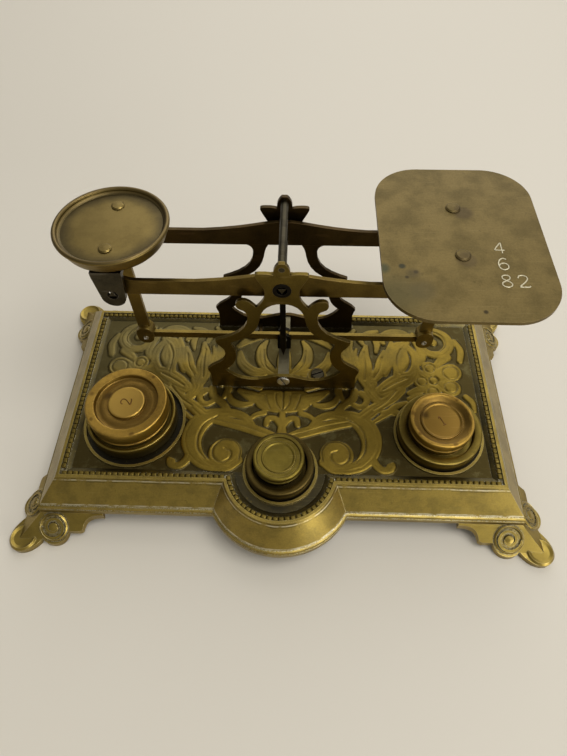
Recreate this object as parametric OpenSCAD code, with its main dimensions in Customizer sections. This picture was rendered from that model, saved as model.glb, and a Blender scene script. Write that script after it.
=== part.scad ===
// Postal scale: a parallel-motion balance on a cast brass tray, with six nested weights.
// Millimetres, +Z up, origin on the table under the middle of the outline, front towards -Y.

/* [Tray] */
// Length of the tray at its upper edge
tray_len = 182; // [174:1:192]
// Depth of the tray at its upper edge, front to back
tray_dep = 88.8; // [86:0.1:94]
// Height of the upper edge above the table
tray_top = 26; // [24:0.5:30]
// Depth of the floor below the upper edge
floor_drop = 2; // [1.8:0.1:2.6]
// Wall thickness of the casting
cast_t = 3; // [2.4:0.1:3.4]
// Outward run of the sloping side
slope_out = 8; // [6:0.1:9]
// Height of the sloping side
slope_h = 10.3; // [9:0.1:11]
// Height of the fascia below the sloping side
fascia_h = 5.5; // [4.5:0.1:6.5]
// Projection of the fascia's lower band beyond the sloping side
fascia_out = 1.2; // [0.8:0.1:1.6]
// Width of the flat rim
rim_w = 1.2; // [1:0.1:1.6]
// Width of the beaded row
bead_w = 1.9; // [1.6:0.1:2.2]
// Length of one bead with its gap
bead_pitch = 2.3; // [2:0.1:3]
// Height of one bead
bead_h = 0.9; // [0.6:0.1:1.1]
// Width of the cove between the beads and the floor
cove_w = 1.9; // [1.4:0.1:2.4]
// Height of the beads' seat above the floor
seat_rise = 0.9; // [0.6:0.1:1]

/* [Bulge and wells] */
// Radius of the front bulge at the upper edge
bulge_r = 23.5; // [21:0.5:26]
// Distance of the bulge's centre behind the front edge
bulge_inset = 6.4; // [4:0.1:9]
// Flare of the bulge's side against the tray's side
bulge_flare = 0.9; // [0.7:0.01:1]
// Gap from the upper edge to the outer wells' rings
well_gap = 5.5; // [5.2:0.1:7]
// Outer radius of the left well's ring
left_well_r = 21.85; // [20.9:0.05:24]
// Outer radius of the right well's ring
right_well_r = 18.9; // [18.4:0.05:21]
// Outer radius of the centre well's ring
centre_well_r = 15.4; // [15.4:0.05:16.6]
// Width of a well's ring
ring_w = 1.1; // [0.8:0.1:1.4]
// Height of a well's ring above the floor
ring_h = 0.9; // [0.6:0.1:1.2]
// Depth of a well below the floor
well_depth = 1.2; // [0.8:0.1:1.6]

/* [Feet] */
// Thickness of a foot's leaf
leaf_t = 3; // [2.4:0.1:3.2]
// Length of a foot's bracket along the tray, from the tray's corner
bracket_len = 15; // [12:0.5:20]
// Radius of a foot's scroll
scroll_r = 6.3; // [5.4:0.1:7]
// Outward reach of the toe's centre along the length
toe_x = 16.8; // [15:0.1:19]
// Outward reach of the toe's centre along the depth
toe_y = 17.7; // [16:0.1:19]
// Radius of the toe
toe_r = 5.8; // [5.2:0.1:6.6]
// Thickness of the toe at its edge
toe_t = 2.9; // [2.2:0.1:3.6]

/* [Frames] */
// Thickness of a frame plate
frame_t = 1.5; // [1.3:0.1:3]
// Clear distance between the two frame plates
frame_gap = 34; // [31:0.1:34.6]
// Height of the pivots above the floor
pivot_h = 60.9; // [60:0.1:62]
// Outer radius of a pivot bush
bush_r = 3.4; // [3:0.1:3.8]
// Height of the top stay rod above the pivots
top_stay_rise = 12.1; // [11:0.1:13]
// Radius of the top stay rod
top_stay_r = 1.5; // [1.3:0.1:1.9]
// Height of the lower stay bar's middle above the floor
low_stay_h = 5.6; // [5.2:0.1:6]
// Width and height of the lower stay bar
low_stay_w = 4.7; // [4.2:0.1:5.2]
// Radius of the stay screws' heads
stay_head_r = 2.8; // [2.4:0.1:3]
// Height of the stay screws' heads
stay_head_h = 0.8; // [0.6:0.1:1.4]
// Radius of the screws' shanks
shank_r = 1.3; // [1:0.05:1.5]
// Distance of a floor screw from the middle
lug_x = 15.3; // [12:0.1:18]
// Distance of a floor screw from the frame's inner face
lug_y = 4.3; // [3.6:0.1:6]
// Thickness of a frame's lug
lug_t = 2; // [1.6:0.1:2.6]
// Radius of the floor screws' heads
floor_head_r = 3; // [2.6:0.1:3.4]
// Height of the floor screws' heads
floor_head_h = 1.5; // [1.1:0.1:1.8]

/* [Beam] */
// Distance from the centre knife edge to each end knife edge
arm_len = 62; // [59:0.5:64]
// Thickness of a beam arm
arm_t = 1.5; // [1.3:0.1:2.4]
// Gap between a frame plate and the beam arm beside it
arm_gap = 2.4; // [1.6:0.1:3]
// Height of the straight stretch of an arm
arm_h = 7; // [6.4:0.1:8]
// Depth of the arm's lower edge below the pivots
arm_below = 5.15; // [4.6:0.05:5.8]
// Rise of the arm's top edge in the middle
arm_rise = 4.4; // [3:0.1:5]
// Radius of the arm's end
arm_end_r = 4.4; // [4:0.1:4.8]
// Radius of the triangular knife edges, from axis to corner
knife_r = 1.7; // [1.4:0.05:1.8]
// Radius of the round holes that the knife edges bear in
knife_hole_r = 2; // [1.9:0.05:2.3]
// Width of the pointer
pointer_w = 2.3; // [1.8:0.1:2.8]
// Thickness of the pointer
pointer_t = 1.4; // [1:0.1:1.8]
// Height of the pointer's tip above the floor
pointer_tip_h = 17; // [15:0.5:22]

/* [Pans] */
// Outer radius of the round pan
pan_r = 21.1; // [19:0.1:23]
// Height of the round pan
pan_h = 6.8; // [6.4:0.1:7.6]
// Thickness of the round pan's floor, which balances the letter plate's side
pan_t = 4.852; // [4.4:0.001:5.4]
// Height of the round pan's rim above the pivots
pan_top = 16.1; // [15.4:0.1:17]
// Length of the letter plate, left to right
plate_len = 58; // [54:0.5:62]
// Depth of the letter plate, front to back
plate_dep = 77.5; // [74:0.5:84]
// Corner radius of the letter plate
plate_corner = 17; // [12:0.5:22]
// Thickness of the letter plate
plate_t = 1.4; // [1:0.02:1.6]
// Height of the letter plate's top above the pivots
plate_top = 14.5; // [13.8:0.1:15.4]
// Distance of the letter plate's middle in front of the balance's middle
plate_fwd = 3.2; // [0:0.1:4]
// Distance of the letter plate's middle to the right of its stem
plate_right = 0.9; // [0:0.1:1.5]
// Width of a yoke at its top
yoke_w = 11.2; // [10:0.1:13]
// Thickness of a yoke
yoke_t = 2; // [1.6:0.1:2.1]
// Radius of a yoke's round ear
ear_r = 4.5; // [4.1:0.1:4.8]
// Distance of an ear's round end below the pivots
ear_drop = 3.1; // [2.4:0.1:3.6]
// Distance of the round pan's rivets from its middle
pan_rivet_y = 11.5; // [9:0.1:12]
// Radius of the round pan's rivet heads
pan_rivet_r = 2.4; // [2:0.1:2.8]
// Distance of the letter plate's rivets from the balance's middle
plate_rivet_y = 12.4; // [10:0.1:14]
// Radius of the letter plate's rivet heads
plate_rivet_r = 2.7; // [2.2:0.1:3.1]
// Radius of the rivets' shanks
rivet_shank_r = 1.2; // [1:0.05:1.4]

/* [Parallel link] */
// Height of the link's pivots above the floor
link_h = 14.4; // [14:0.1:15.6]
// Height of the link bar
link_bar_h = 3.4; // [3:0.1:3.8]
// Thickness of the link bar
link_t = 1.6; // [1.3:0.1:2]
// Radius of the link's pins
link_pin_r = 1.2; // [1:0.05:1.35]
// Width of a stem
stem_w = 5.2; // [4.4:0.1:6]
// Thickness of a stem
stem_t = 1.6; // [1.4:0.1:2.4]
// Radius of a clevis cheek
cheek_r = 3.6; // [3.3:0.1:4]
// Height of the straight sides between a clevis's two round ends
clevis_rise = 2.8; // [2:0.1:3.6]
// Length of a clevis over both cheeks
clevis_len = 5.6; // [4.8:0.1:7]
// Radius of the fork's cheeks on the lower stay
fork_r = 3; // [2.8:0.1:3.6]
// Thickness of the fork's cheeks
fork_t = 1.4; // [1.2:0.1:2]

/* [Weights] */
// Radius of the left lower weight
left_low_r = 18.9; // [18.3:0.1:19.4]
// Radius of the left upper weight
left_up_r = 17; // [16:0.1:17.4]
// Height of the left upper weight
left_up_h = 9.1; // [8:0.1:10]
// Radius of the right lower weight
right_low_r = 17.3; // [16:0.1:17.5]
// Radius of the right upper weight
right_up_r = 13.1; // [12:0.1:14]
// Height of the right upper weight
right_up_h = 6.4; // [5.4:0.1:7.4]
// Radius of the centre lower weight
centre_low_r = 13.9; // [13.1:0.1:14]
// Radius of the centre upper weight
centre_up_r = 10.3; // [9.4:0.1:11]
// Height of the centre upper weight
centre_up_h = 5.4; // [4.6:0.1:6.4]
// Height of a lower weight above the floor
low_weight_h = 6; // [5:0.1:7]
// Depth of the recess in a lower weight
recess_depth = 0.8; // [0.6:0.1:1.2]

/* [Clearances] */
// Clearance between a knife edge and the hole that it bears in
edge_clear = 0.08; // [0.05:0.01:0.1]
// Radial clearance of a screw in its plain hole
screw_clear = 0.08; // [0.05:0.01:0.15]
// Radial clearance of a link eye on its pin
eye_clear = 0.1; // [0.06:0.01:0.15]
// Side clearance of the link in its forks
side_clear = 0.2; // [0.15:0.05:0.3]
// Gap under a weight that stands in its well or recess
stand_gap = 0.1; // [0.05:0.05:0.2]

/* [Hidden] */

// Smoothness of round shapes
$fn = 64;
// Overrun of a cut past the face it opens
over = 1;
// Reach of a prism that is cut down by another
reach = 400;

// Colours of the finishes
brass_cast = "#8a7636";
brass_dark = "#4d421c";
brass_worn = "#6b5f33";
brass_bright = "#b98f3e";
steel_dark = "#37342e";
steel_bright = "#a7a49a";

// Heights of the tray's levels
slope_bottom_z = tray_top - slope_h;
fascia_bottom_z = slope_bottom_z - fascia_h;
floor_z = tray_top - floor_drop;
seat_z = floor_z + seat_rise;
border_w = rim_w + bead_w + cove_w;

// Distance of the tray's middle behind the origin, which is the middle of the whole outline
bulge_reach = tray_dep / 2 - bulge_inset + bulge_r + bulge_flare * (slope_out + fascia_out);
toe_reach = tray_dep / 2 + toe_y + toe_r;
tray_y = max(0, bulge_reach - toe_reach) / 2;

// Places of the wells, from the tray's middle
bulge_y = -tray_dep / 2 + bulge_inset;
left_well = [-tray_len / 2 + well_gap + left_well_r, -tray_dep / 2 + well_gap + left_well_r];
right_well = [tray_len / 2 - well_gap - right_well_r, -tray_dep / 2 + well_gap + right_well_r];
centre_well = [0, bulge_y];
well_z = floor_z - well_depth;

// Places across the balance, measured from its middle plane
balance_y = tray_dep / 2 - border_w - frame_gap / 2 - frame_t;
plate_out_y = frame_gap / 2 + frame_t;
arm_out_y = frame_gap / 2 - arm_gap;
pivot_z = floor_z + pivot_h;
top_stay_h = pivot_h + top_stay_rise;
link_z = floor_z + link_h;
low_stay_z = floor_z + low_stay_h;

// Distance from a knife edge to the middle of the round hole that it bears in
hole_shift = knife_hole_r - edge_clear;
bush_h = pivot_h + hole_shift;

// Point at share t along a cubic curve of four control points
function bezier(c, t) =
    pow(1 - t, 3) * c[0] + 3 * t * pow(1 - t, 2) * c[1] + 3 * t * t * (1 - t) * c[2]
    + pow(t, 3) * c[3];

// Draws its children about the tray's middle
module on_tray() {
    translate([0, tray_y, 0]) children();
}

// Points along a chain of curves, without the last point
function curve_points(curves, steps) =
    [for (c = curves) for (i = [0:steps - 1]) bezier(c, i / steps)];

// Outline that is the given right half and its mirror image
function both_halves(half) =
    concat(half, [for (i = [len(half) - 1:-1:0]) [-half[i][0], half[i][1]]]);

// Profile of [outward distance, height] points turned into a full section of a given half width
function section(profile, half_width) =
    both_halves([for (p = profile) [half_width + p[0], p[1]]]);

// Outer side of the tray, from the upper edge down over the moulding
tray_side = [[0, tray_top], [slope_out, slope_bottom_z],
    [slope_out - 0.4, slope_bottom_z - 0.1 * fascia_h],
    [slope_out + 0.7 * fascia_out, slope_bottom_z - 0.16 * fascia_h],
    [slope_out + fascia_out, slope_bottom_z - 0.28 * fascia_h],
    [slope_out + 0.7 * fascia_out, slope_bottom_z - 0.4 * fascia_h],
    [slope_out, slope_bottom_z - 0.46 * fascia_h],
    [slope_out + fascia_out, slope_bottom_z - 0.56 * fascia_h],
    [slope_out + fascia_out, fascia_bottom_z]];

// Inner side of the tray's wall, parallel to the slope
slope_ratio = slope_out / slope_h;
wall_run = cast_t * sqrt(1 + slope_ratio * slope_ratio);
under_z = floor_z - cast_t;
tray_cavity = [[(tray_top - under_z) * slope_ratio - wall_run, under_z],
    [slope_out - wall_run, slope_bottom_z],
    [slope_out + fascia_out - leaf_t - 1, slope_bottom_z - 0.2 * fascia_h],
    [slope_out + fascia_out - leaf_t - 1, fascia_bottom_z - over]];

// Sunk upper side: the beads' seat, then the cove down to the floor
seat_cut = [[-rim_w, tray_top + over], [-rim_w, seat_z]];
cove_cut = [[-rim_w - bead_w, tray_top + over], [-rim_w - bead_w, seat_z], [-border_w, floor_z]];

// Solid whose four sides follow one profile, mitred at the corners
module mitred(profile) {
    intersection() {
        rotate([90, 0, 0])
            linear_extrude(reach, center = true) polygon(section(profile, tray_len / 2));
        rotate([90, 0, 90])
            linear_extrude(reach, center = true) polygon(section(profile, tray_dep / 2));
    }
}

// Round solid at the bulge that follows the same profile
module bulged(profile, flare) {
    first = profile[0];
    last = profile[len(profile) - 1];
    translate([0, bulge_y, 0])
        rotate_extrude()
            polygon(concat([[0, first[1]]], [for (p = profile) [bulge_r + flare * p[0], p[1]]],
                [[0, last[1]]]));
}

module tray_form(profile, flare = 1) {
    union() {
        mitred(profile);
        bulged(profile, flare);
    }
}

module ring(at, r) {
    translate([at[0], at[1], floor_z - over])
        difference() {
            cylinder(r = r, h = ring_h + over);
            translate([0, 0, -over]) cylinder(r = r - ring_w, h = ring_h + 3 * over);
        }
}

module well_cut(at, r) {
    translate([at[0], at[1], well_z]) cylinder(r = r - ring_w, h = well_depth + over);
}

wells = [[left_well, left_well_r], [right_well, right_well_r], [centre_well, centre_well_r]];

module tray() {
    color(brass_cast) on_tray()
    difference() {
        union() {
            difference() {
                tray_form(tray_side, bulge_flare);
                tray_form(tray_cavity, bulge_flare);
                tray_form(seat_cut);
                tray_form(cove_cut);
            }
            for (w = wells) ring(w[0], w[1]);
        }
        for (w = wells) well_cut(w[0], w[1]);
        for (p = floor_screw_places)
            translate([p[0], p[1], under_z - over])
                cylinder(r = shank_r + screw_clear, h = cast_t + 2 * over);
    }
}

// Side view of a row of rounded beads on a thin strip, from x = 0
bead_strip_h = 0.3;
function bead_row(count) = concat([[0, 0]],
    [for (i = [0:count - 1]) for (s = [0:4])
        [bead_pitch * (i + 0.06 + 0.88 * s / 4),
            bead_strip_h + (bead_h - bead_strip_h) * pow(sin(180 * s / 4), 0.5)]],
    [[bead_pitch * count, 0]]);

// Row of beads along +X that fills the given length with whole beads
module bead_run(length) {
    count = floor(length / bead_pitch);
    translate([(length - count * bead_pitch) / 2, bead_w, 0])
        rotate([90, 0, 0]) linear_extrude(bead_w) polygon(bead_row(count));
}

// Where the straight front row meets the row round the bulge
bead_mid_r = bulge_r - rim_w - bead_w / 2;
bead_join_x = sqrt(pow(bulge_r - rim_w, 2) - pow(bulge_inset - rim_w, 2));
bead_arc_half = acos((bulge_inset - rim_w - bead_w) / (bulge_r - rim_w - bead_w));

module bead_border() {
    half_x = tray_len / 2 - rim_w;
    half_y = tray_dep / 2 - rim_w;
    side_len = 2 * (half_y - bead_w);
    front_len = half_x - bead_join_x;
    color(brass_worn) on_tray()
    translate([0, 0, seat_z]) {
        translate([-half_x, half_y - bead_w, 0]) bead_run(2 * half_x);
        for (side = [-1, 1]) {
            translate([side * (half_x - bead_w / 2) + bead_w / 2, -half_y + bead_w, 0])
                rotate([0, 0, 90]) bead_run(side_len);
            translate([side > 0 ? bead_join_x : -half_x, -half_y, 0]) bead_run(front_len);
        }
        bead_arc();
    }
}

// Beads round the bulge, each a short block on a curved strip
module bead_arc() {
    step = bead_pitch / bead_mid_r * 180 / PI;
    count = floor(2 * bead_arc_half / step);
    inner_r = bulge_r - rim_w - bead_w;
    translate([0, bulge_y, 0]) {
        rotate([0, 0, -90 - count * step / 2])
            rotate_extrude(angle = count * step)
                translate([inner_r, 0]) square([bead_w, bead_strip_h]);
        for (i = [0:count - 1])
            rotate([0, 0, 180 - (count - 1) * step / 2 + i * step])
                translate([-bead_pitch / 2, inner_r + bead_w - 0.1, 0])
                    rotate([90, 0, 0])
                        linear_extrude(bead_w - 0.2) polygon(bead_row(1));
    }
}

// Feet
// A foot is drawn at the origin of the tray's corner: x outward along the length, y outward
// along the depth. Its two leaves are mirror images across the mitre.
leaf_top = slope_out + fascia_out;
leaf_drop = fascia_bottom_z - toe_t;
leaf_bend = [leaf_top + 0.9, fascia_bottom_z - 0.14 * leaf_drop];
leaf_flat = [leaf_top + 9.2, toe_t + 0.02 * leaf_drop];
leaf_slope = atan2(leaf_bend[1] - leaf_flat[1], leaf_flat[0] - leaf_bend[0]);
under_shift = leaf_t * [-sin(leaf_slope), -cos(leaf_slope)];
leaf_profile = [[leaf_top - leaf_t, fascia_bottom_z], [leaf_top, fascia_bottom_z], leaf_bend,
    leaf_flat, [leaf_flat[0] + 2, toe_t], [leaf_flat[0] + 20, toe_t], [leaf_flat[0] + 20, 0],
    [leaf_flat[0] + 1, 0], leaf_bend + under_shift];

// Middle of a foot's scroll, on the leaf's slope
scroll_at = [3.6, (leaf_bend[0] + leaf_flat[0]) / 2 - 0.3];
scroll_z = leaf_bend[1] - (scroll_at[1] - leaf_bend[0]) * tan(leaf_slope);

// Plan outline of the bracket: a stepped end with a hollow curve
bracket_curves = [
    [[-bracket_len, leaf_top + 0.6], [-bracket_len + 5, leaf_top + 0.8],
        [-bracket_len + 6, leaf_top + 3], [-bracket_len + 6.6, leaf_top + 5.6]]];
bracket_plan = concat([[8, 0], [-bracket_len - 2, 0], [-bracket_len - 2, leaf_top + 0.6]],
    curve_points(bracket_curves, 8), [[-bracket_len + 6.6, leaf_top + 5.6],
    [-bracket_len + 8, leaf_top + 6.2], [0, leaf_top + 6.2], [8, leaf_top + 6.2]]);

module foot_plan(toe) {
    height = fascia_bottom_z + 2 * over;
    toe_curves = [
        [[7.4, scroll_at[1] + 3.6], [8.4, toe[1] - 0.8], [toe[0] - 6, toe[1] + toe_r],
            [toe[0], toe[1] + toe_r]]];
    translate([0, 0, -over]) {
        linear_extrude(height) polygon(bracket_plan);
        translate([scroll_at[0], scroll_at[1], 0]) cylinder(r = scroll_r, h = height);
        linear_extrude(height)
            polygon(concat([[0, 0]], curve_points(toe_curves, 8), [[toe[0], toe[1] + toe_r],
                [toe[0] + toe_r, toe[1]], [toe[0] + toe_r, toe[1] - 4], [leaf_top, 0]]));
        translate([toe[0], toe[1], 0]) cylinder(r = toe_r, h = height);
    }
}

module foot_leaf(toe) {
    intersection() {
        rotate([90, 0, 90]) linear_extrude(reach, center = true) polygon(leaf_profile);
        foot_plan(toe);
        translate([0, 0, -over])
            linear_extrude(reach) polygon([[-reach, 0], [0, 0], [reach, reach], [-reach, reach]]);
    }
    translate([scroll_at[0], scroll_at[1], scroll_z]) rotate([-leaf_slope, 0, 0]) volute();
}

// Raised scroll: a rimmed disc with a spiral rib and a button in the middle
spiral_w = 1.1;
spiral_turns = 1.5;
function spiral_r(t) = scroll_r * (0.84 - 0.58 * t);
function spiral_point(t, side) =
    (spiral_r(t) + side * spiral_w / 2) * [cos(360 * spiral_turns * t), sin(360 * spiral_turns * t)];

module volute() {
    steps = 27;
    rotate_extrude()
        polygon([[0, -leaf_t / 2], [scroll_r - 0.3, -leaf_t / 2], [scroll_r - 0.3, 0.6],
            [scroll_r - 0.9, 1], [scroll_r - 1.5, 0.3], [0.34 * scroll_r, 0.3],
            [0.28 * scroll_r, 1], [0, 1.3]]);
    linear_extrude(0.9)
        polygon(concat([for (i = [0:steps]) spiral_point(i / steps, 1)],
            [for (i = [steps:-1:0]) spiral_point(i / steps, -1)]));
}

module foot() {
    foot_leaf([toe_x, toe_y]);
    mirror([1, -1, 0]) foot_leaf([toe_y, toe_x]);
    translate([toe_x, toe_y, 0])
        rotate_extrude()
            polygon([[0, 0], [toe_r - 0.8, 0], [toe_r, 0.9], [toe_r, toe_t], [toe_r - 0.8, toe_t + 0.9],
                [toe_r - 2, toe_t + 0.4], [0, toe_t + 0.2]]);
}

module foot_at(side, end) {
    color(brass_cast) on_tray()
    translate([side * tray_len / 2, end * tray_dep / 2, 0])
        mirror([side < 0 ? 1 : 0, 0, 0])
            mirror([0, end < 0 ? 1 : 0, 0])
                foot();
}

// Frames
// The fret is drawn for this height of the pivots, and stretches with the real height
drawn_pivot_h = 60.9;
function stretched(curves) =
    [for (c = curves) [for (p = c) [p[0], p[1] * pivot_h / drawn_pivot_h]]];

// Right half of the fret outline, from the base corner to the tip of the bud, above the floor
shoulder_h = top_stay_h - 2.1;
bud_h = top_stay_h + 3.5;
fret_outer = concat(stretched([
    [[32.2, 0], [31.8, 3], [31.5, 6], [31.6, 9]],
    [[31.6, 9], [31.7, 10.5], [32.4, 12], [32.6, 13.3]],
    [[32.6, 13.3], [29.5, 18.5], [24.3, 17.5], [23.9, 25]],
    [[23.9, 25], [23.7, 29], [27.3, 30], [27.2, 33.5]],
    [[27.2, 33.5], [19.5, 36.5], [13.3, 40], [13.3, 48.5]],
    [[13.3, 48.5], [13.3, 50.4], [14.2, 51.6], [15.6, 52.1]],
    [[15.6, 52.1], [18.2, 53.2], [17.8, 57.4], [14.7, 57.4]],
    [[14.7, 57.4], [12.4, 57.4], [11.2, 55.4], [9.7, 53.6]],
    [[9.7, 53.6], [8, 55.4], [6.2, 58], [6.2, 61.5]]]), [
    [[6.2, pivot_h + 0.6], [6.2, pivot_h + 3.6], [8.2, pivot_h + 5.4], [9.5, shoulder_h - 1]],
    [[9.5, shoulder_h - 1], [9.7, shoulder_h + 0.1], [7.8, shoulder_h], [6.4, shoulder_h]],
    [[6.4, shoulder_h], [5, shoulder_h], [4, shoulder_h - 0.2], [2.9, shoulder_h - 0.5]],
    [[2.9, shoulder_h - 0.5], [3.2, shoulder_h + 1.9], [2.3, shoulder_h + 4.3], [0, bud_h]]]);
// Right half of the opening, from the top of its arch to the middle of its sill
fret_inner = concat(stretched([
    [[0, 55.8], [4.6, 55.8], [7.6, 52.7], [8.4, 48.5]],
    [[8.4, 48.5], [9.3, 43.5], [10, 36.5], [21, 32.2]],
    [[21, 32.2], [21.6, 30.6], [19.4, 28.5], [19.5, 24.5]],
    [[19.5, 24.5], [19.6, 19.5], [21.5, 16], [25, 13.3]],
    [[25, 13.3], [22.5, 9.2], [18.5, 5.9], [13.5, 5.9]]]), [
    [[13.5, 5.9], [8.5, 5.9], [5, low_stay_h + 3.4], [0, low_stay_h + 3.4]]]);
fret_steps = 6;
lug_r = 4.2;

// Turns a drawing on the X-Z plane into a plate that grows towards +Y from y = 0
module upright(thickness) {
    translate([0, thickness, 0]) rotate([90, 0, 0]) linear_extrude(thickness) children();
}

// Plate with its inner face at y = frame_t, and one lug that points to the balance's middle
module fret_plate() {
    difference() {
        union() {
            upright(frame_t) polygon(both_halves(curve_points(fret_outer, fret_steps)));
            translate([lug_x - lug_r, frame_t - 0.5, 0]) cube([2 * lug_r, lug_y + 0.5, lug_t]);
            translate([lug_x, frame_t + lug_y, 0]) cylinder(r = lug_r, h = lug_t);
        }
        translate([0, -over, 0])
            upright(frame_t + 2 * over) polygon(both_halves(curve_points(fret_inner, fret_steps)));
        across(-over, frame_t + 2 * over, bush_h, bush_r);
        across(-over, frame_t + 2 * over, top_stay_h, 0.75 * top_stay_r);
        across(-over, frame_t + 2 * over, low_stay_h, shank_r + screw_clear);
        translate([lug_x, frame_t + lug_y, -over])
            cylinder(r = shank_r + screw_clear, h = lug_t + 2 * over);
    }
}

// Cylinder along +Y from y, at a height on the middle line
module across(y, length, height, r) {
    translate([0, y, height]) rotate([-90, 0, 0]) cylinder(r = r, h = length);
}

// Places its children in the balance's own axes: middle plane at y = 0, floor at z = 0
module on_balance() {
    on_tray() translate([0, balance_y, floor_z]) children();
}

// Draws its children at the front and their mirror image at the back
module front_and_back() {
    children();
    mirror([0, 1, 0]) children();
}

module front_frame() {
    color(brass_worn) on_balance() translate([0, -plate_out_y, 0]) fret_plate();
}

module back_frame() {
    color(brass_dark) on_balance()
        rotate([0, 0, 180]) translate([0, -plate_out_y, 0]) fret_plate();
}

module pivot_bushes() {
    color(steel_dark) on_balance() front_and_back()
        difference() {
            across(-plate_out_y - 0.2, frame_t + 0.5, bush_h, bush_r);
            across(-plate_out_y - over, frame_t + 3 * over, bush_h, knife_hole_r);
        }
}

module top_stay_rod() {
    color(steel_dark) on_balance() {
        across(-frame_gap / 2, frame_gap, top_stay_h, top_stay_r);
        across(-plate_out_y, 2 * plate_out_y, top_stay_h, 0.75 * top_stay_r);
    }
}

stay_bore = 7;
module lower_stay_bar() {
    half = low_stay_w / 2;
    color(steel_bright) on_balance()
    difference() {
        translate([-half, -frame_gap / 2, low_stay_h - half]) cube([low_stay_w, frame_gap, low_stay_w]);
        front_and_back()
            across(-frame_gap / 2 - over, stay_bore + over, low_stay_h, shank_r);
        translate([0, 0, low_stay_h]) cylinder(r = fork_tenon_r, h = low_stay_w);
    }
}

// Slotted cheese-head screw with its head up and its shank down from z = 0
slot_w = 0.7;
module slotted_screw(head_r, head_h, length, turn) {
    difference() {
        rotate_extrude()
            polygon([[0, -length], [shank_r - 0.3, -length], [shank_r, -length + 0.5], [shank_r, 0],
                [head_r, 0], [head_r, 0.7 * head_h], [head_r - 0.4, head_h], [0, head_h]]);
        rotate([0, 0, turn])
            translate([-head_r - over, -slot_w / 2, 0.5 * head_h])
                cube([2 * (head_r + over), slot_w, head_h]);
    }
}

module stay_screws() {
    color(steel_bright) on_balance() front_and_back()
        translate([0, -plate_out_y, low_stay_h])
            rotate([90, 0, 0])
                slotted_screw(stay_head_r, stay_head_h, frame_t + stay_bore - 0.5, 115);
}

lug_screw_y = frame_gap / 2 - lug_y;
floor_screw_places = [for (side = [-1, 1]) [side * lug_x, balance_y - side * lug_screw_y]];

module floor_screws() {
    color(steel_bright) on_tray()
    for (p = floor_screw_places)
        translate([p[0], p[1], floor_z + lug_t])
            slotted_screw(floor_head_r, floor_head_h, lug_t + cast_t + 1, 22);
}

// Fork that straddles the link's middle, with a tenon in the lower stay bar
fork_tenon_r = 1.4;
slot_half = link_t / 2 + side_clear;
module link_fork() {
    top = low_stay_h + low_stay_w / 2;
    width = 2 * fork_r;
    length = 2 * (slot_half + fork_t);
    color(steel_dark) on_balance() {
        difference() {
            union() {
                translate([-fork_r, -length / 2, top]) cube([width, length, link_h - top]);
                across(-length / 2, length, link_h, fork_r);
            }
            translate([-fork_r - over, -slot_half, link_h - link_bar_h / 2 - 1.4])
                cube([width + 2 * over, 2 * slot_half, fork_r + link_bar_h + 2 * over]);
            across(-length, 2 * length, link_h, link_pin_r);
        }
        translate([0, 0, low_stay_h + 0.2]) cylinder(r = fork_tenon_r, h = top - low_stay_h);
    }
}

module fork_pin() {
    half = slot_half + fork_t + 0.3;
    color(steel_bright) on_balance() across(-half, 2 * half, link_h, link_pin_r);
}

// Beam
arm_top = arm_h - arm_below;
arm_neck_x = arm_len - 9;
arm_swell_x = 32;
arm_end_z = arm_end_r - arm_below;
// Upper edge of an arm's right half, from the middle to its end, about the pivots
arm_upper = [
    [[0, arm_top + arm_rise], [8, arm_top + arm_rise], [12, arm_top + 1.4], [arm_swell_x, arm_top]],
    [[arm_swell_x, arm_top], [arm_swell_x + 6, arm_top], [arm_neck_x - 6, arm_top],
        [arm_neck_x, arm_top]],
    [[arm_neck_x, arm_top], [arm_neck_x + 4, arm_top], [arm_len - 4, arm_end_z + arm_end_r],
        [arm_len, arm_end_z + arm_end_r]]];
arm_tip = [for (a = [90:-15:-90])
    [arm_len + arm_end_r * cos(a), arm_end_z + arm_end_r * sin(a)]];
arm_half = concat(curve_points(arm_upper, 8), arm_tip);

// Prism along +Y from y whose working edge, turned up or down, lies on the pivot line
module knife(x, y, length, edge_up) {
    translate([x, y, edge_up ? pivot_h - knife_r : pivot_h + knife_r])
        rotate([-90, 0, 0])
            rotate([0, 0, edge_up ? -90 : 90]) cylinder(r = knife_r, h = length, $fn = 3);
}

module beam_arm() {
    difference() {
        translate([0, -arm_out_y, pivot_h]) upright(arm_t) polygon(both_halves(arm_half));
        knife(0, -arm_out_y - over, arm_t + 2 * over, false);
        for (side = [-1, 1]) knife(side * arm_len, -arm_out_y - over, arm_t + 2 * over, true);
    }
}

module front_beam_arm() {
    color(brass_worn) on_balance() beam_arm();
}

module back_beam_arm() {
    color(brass_dark) on_balance() mirror([0, 1, 0]) beam_arm();
}

// Distance that the ends of the knife edges stand back from the faces around them
knife_set_back = 0.2;
module centre_knife_edge() {
    half = plate_out_y - knife_set_back;
    color(steel_dark) on_balance() knife(0, -half, 2 * half, false);
}

// Ears stand outside the arms, in line with the frame plates
ear_in_y = arm_out_y + 2;
module end_knife_edges(x) {
    out_y = ear_out_y - knife_set_back;
    in_y = arm_out_y - arm_t - 0.3;
    color(steel_dark) on_balance() front_and_back() knife(x, -out_y, out_y - in_y, true);
}

module pointer() {
    tip = pointer_tip_h - pivot_h;
    eye_r = 3.9;
    color(steel_dark) on_balance()
    difference() {
        translate([0, -arm_out_y + arm_t, pivot_h]) upright(pointer_t) {
            polygon([[-pointer_w / 2, 0], [-pointer_w / 2, tip + 5], [0, tip],
                [pointer_w / 2, tip + 5], [pointer_w / 2, 0]]);
            translate([0, knife_r]) circle(r = eye_r);
        }
        knife(0, -arm_out_y, arm_t + pointer_t + over, false);
    }
}

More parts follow.
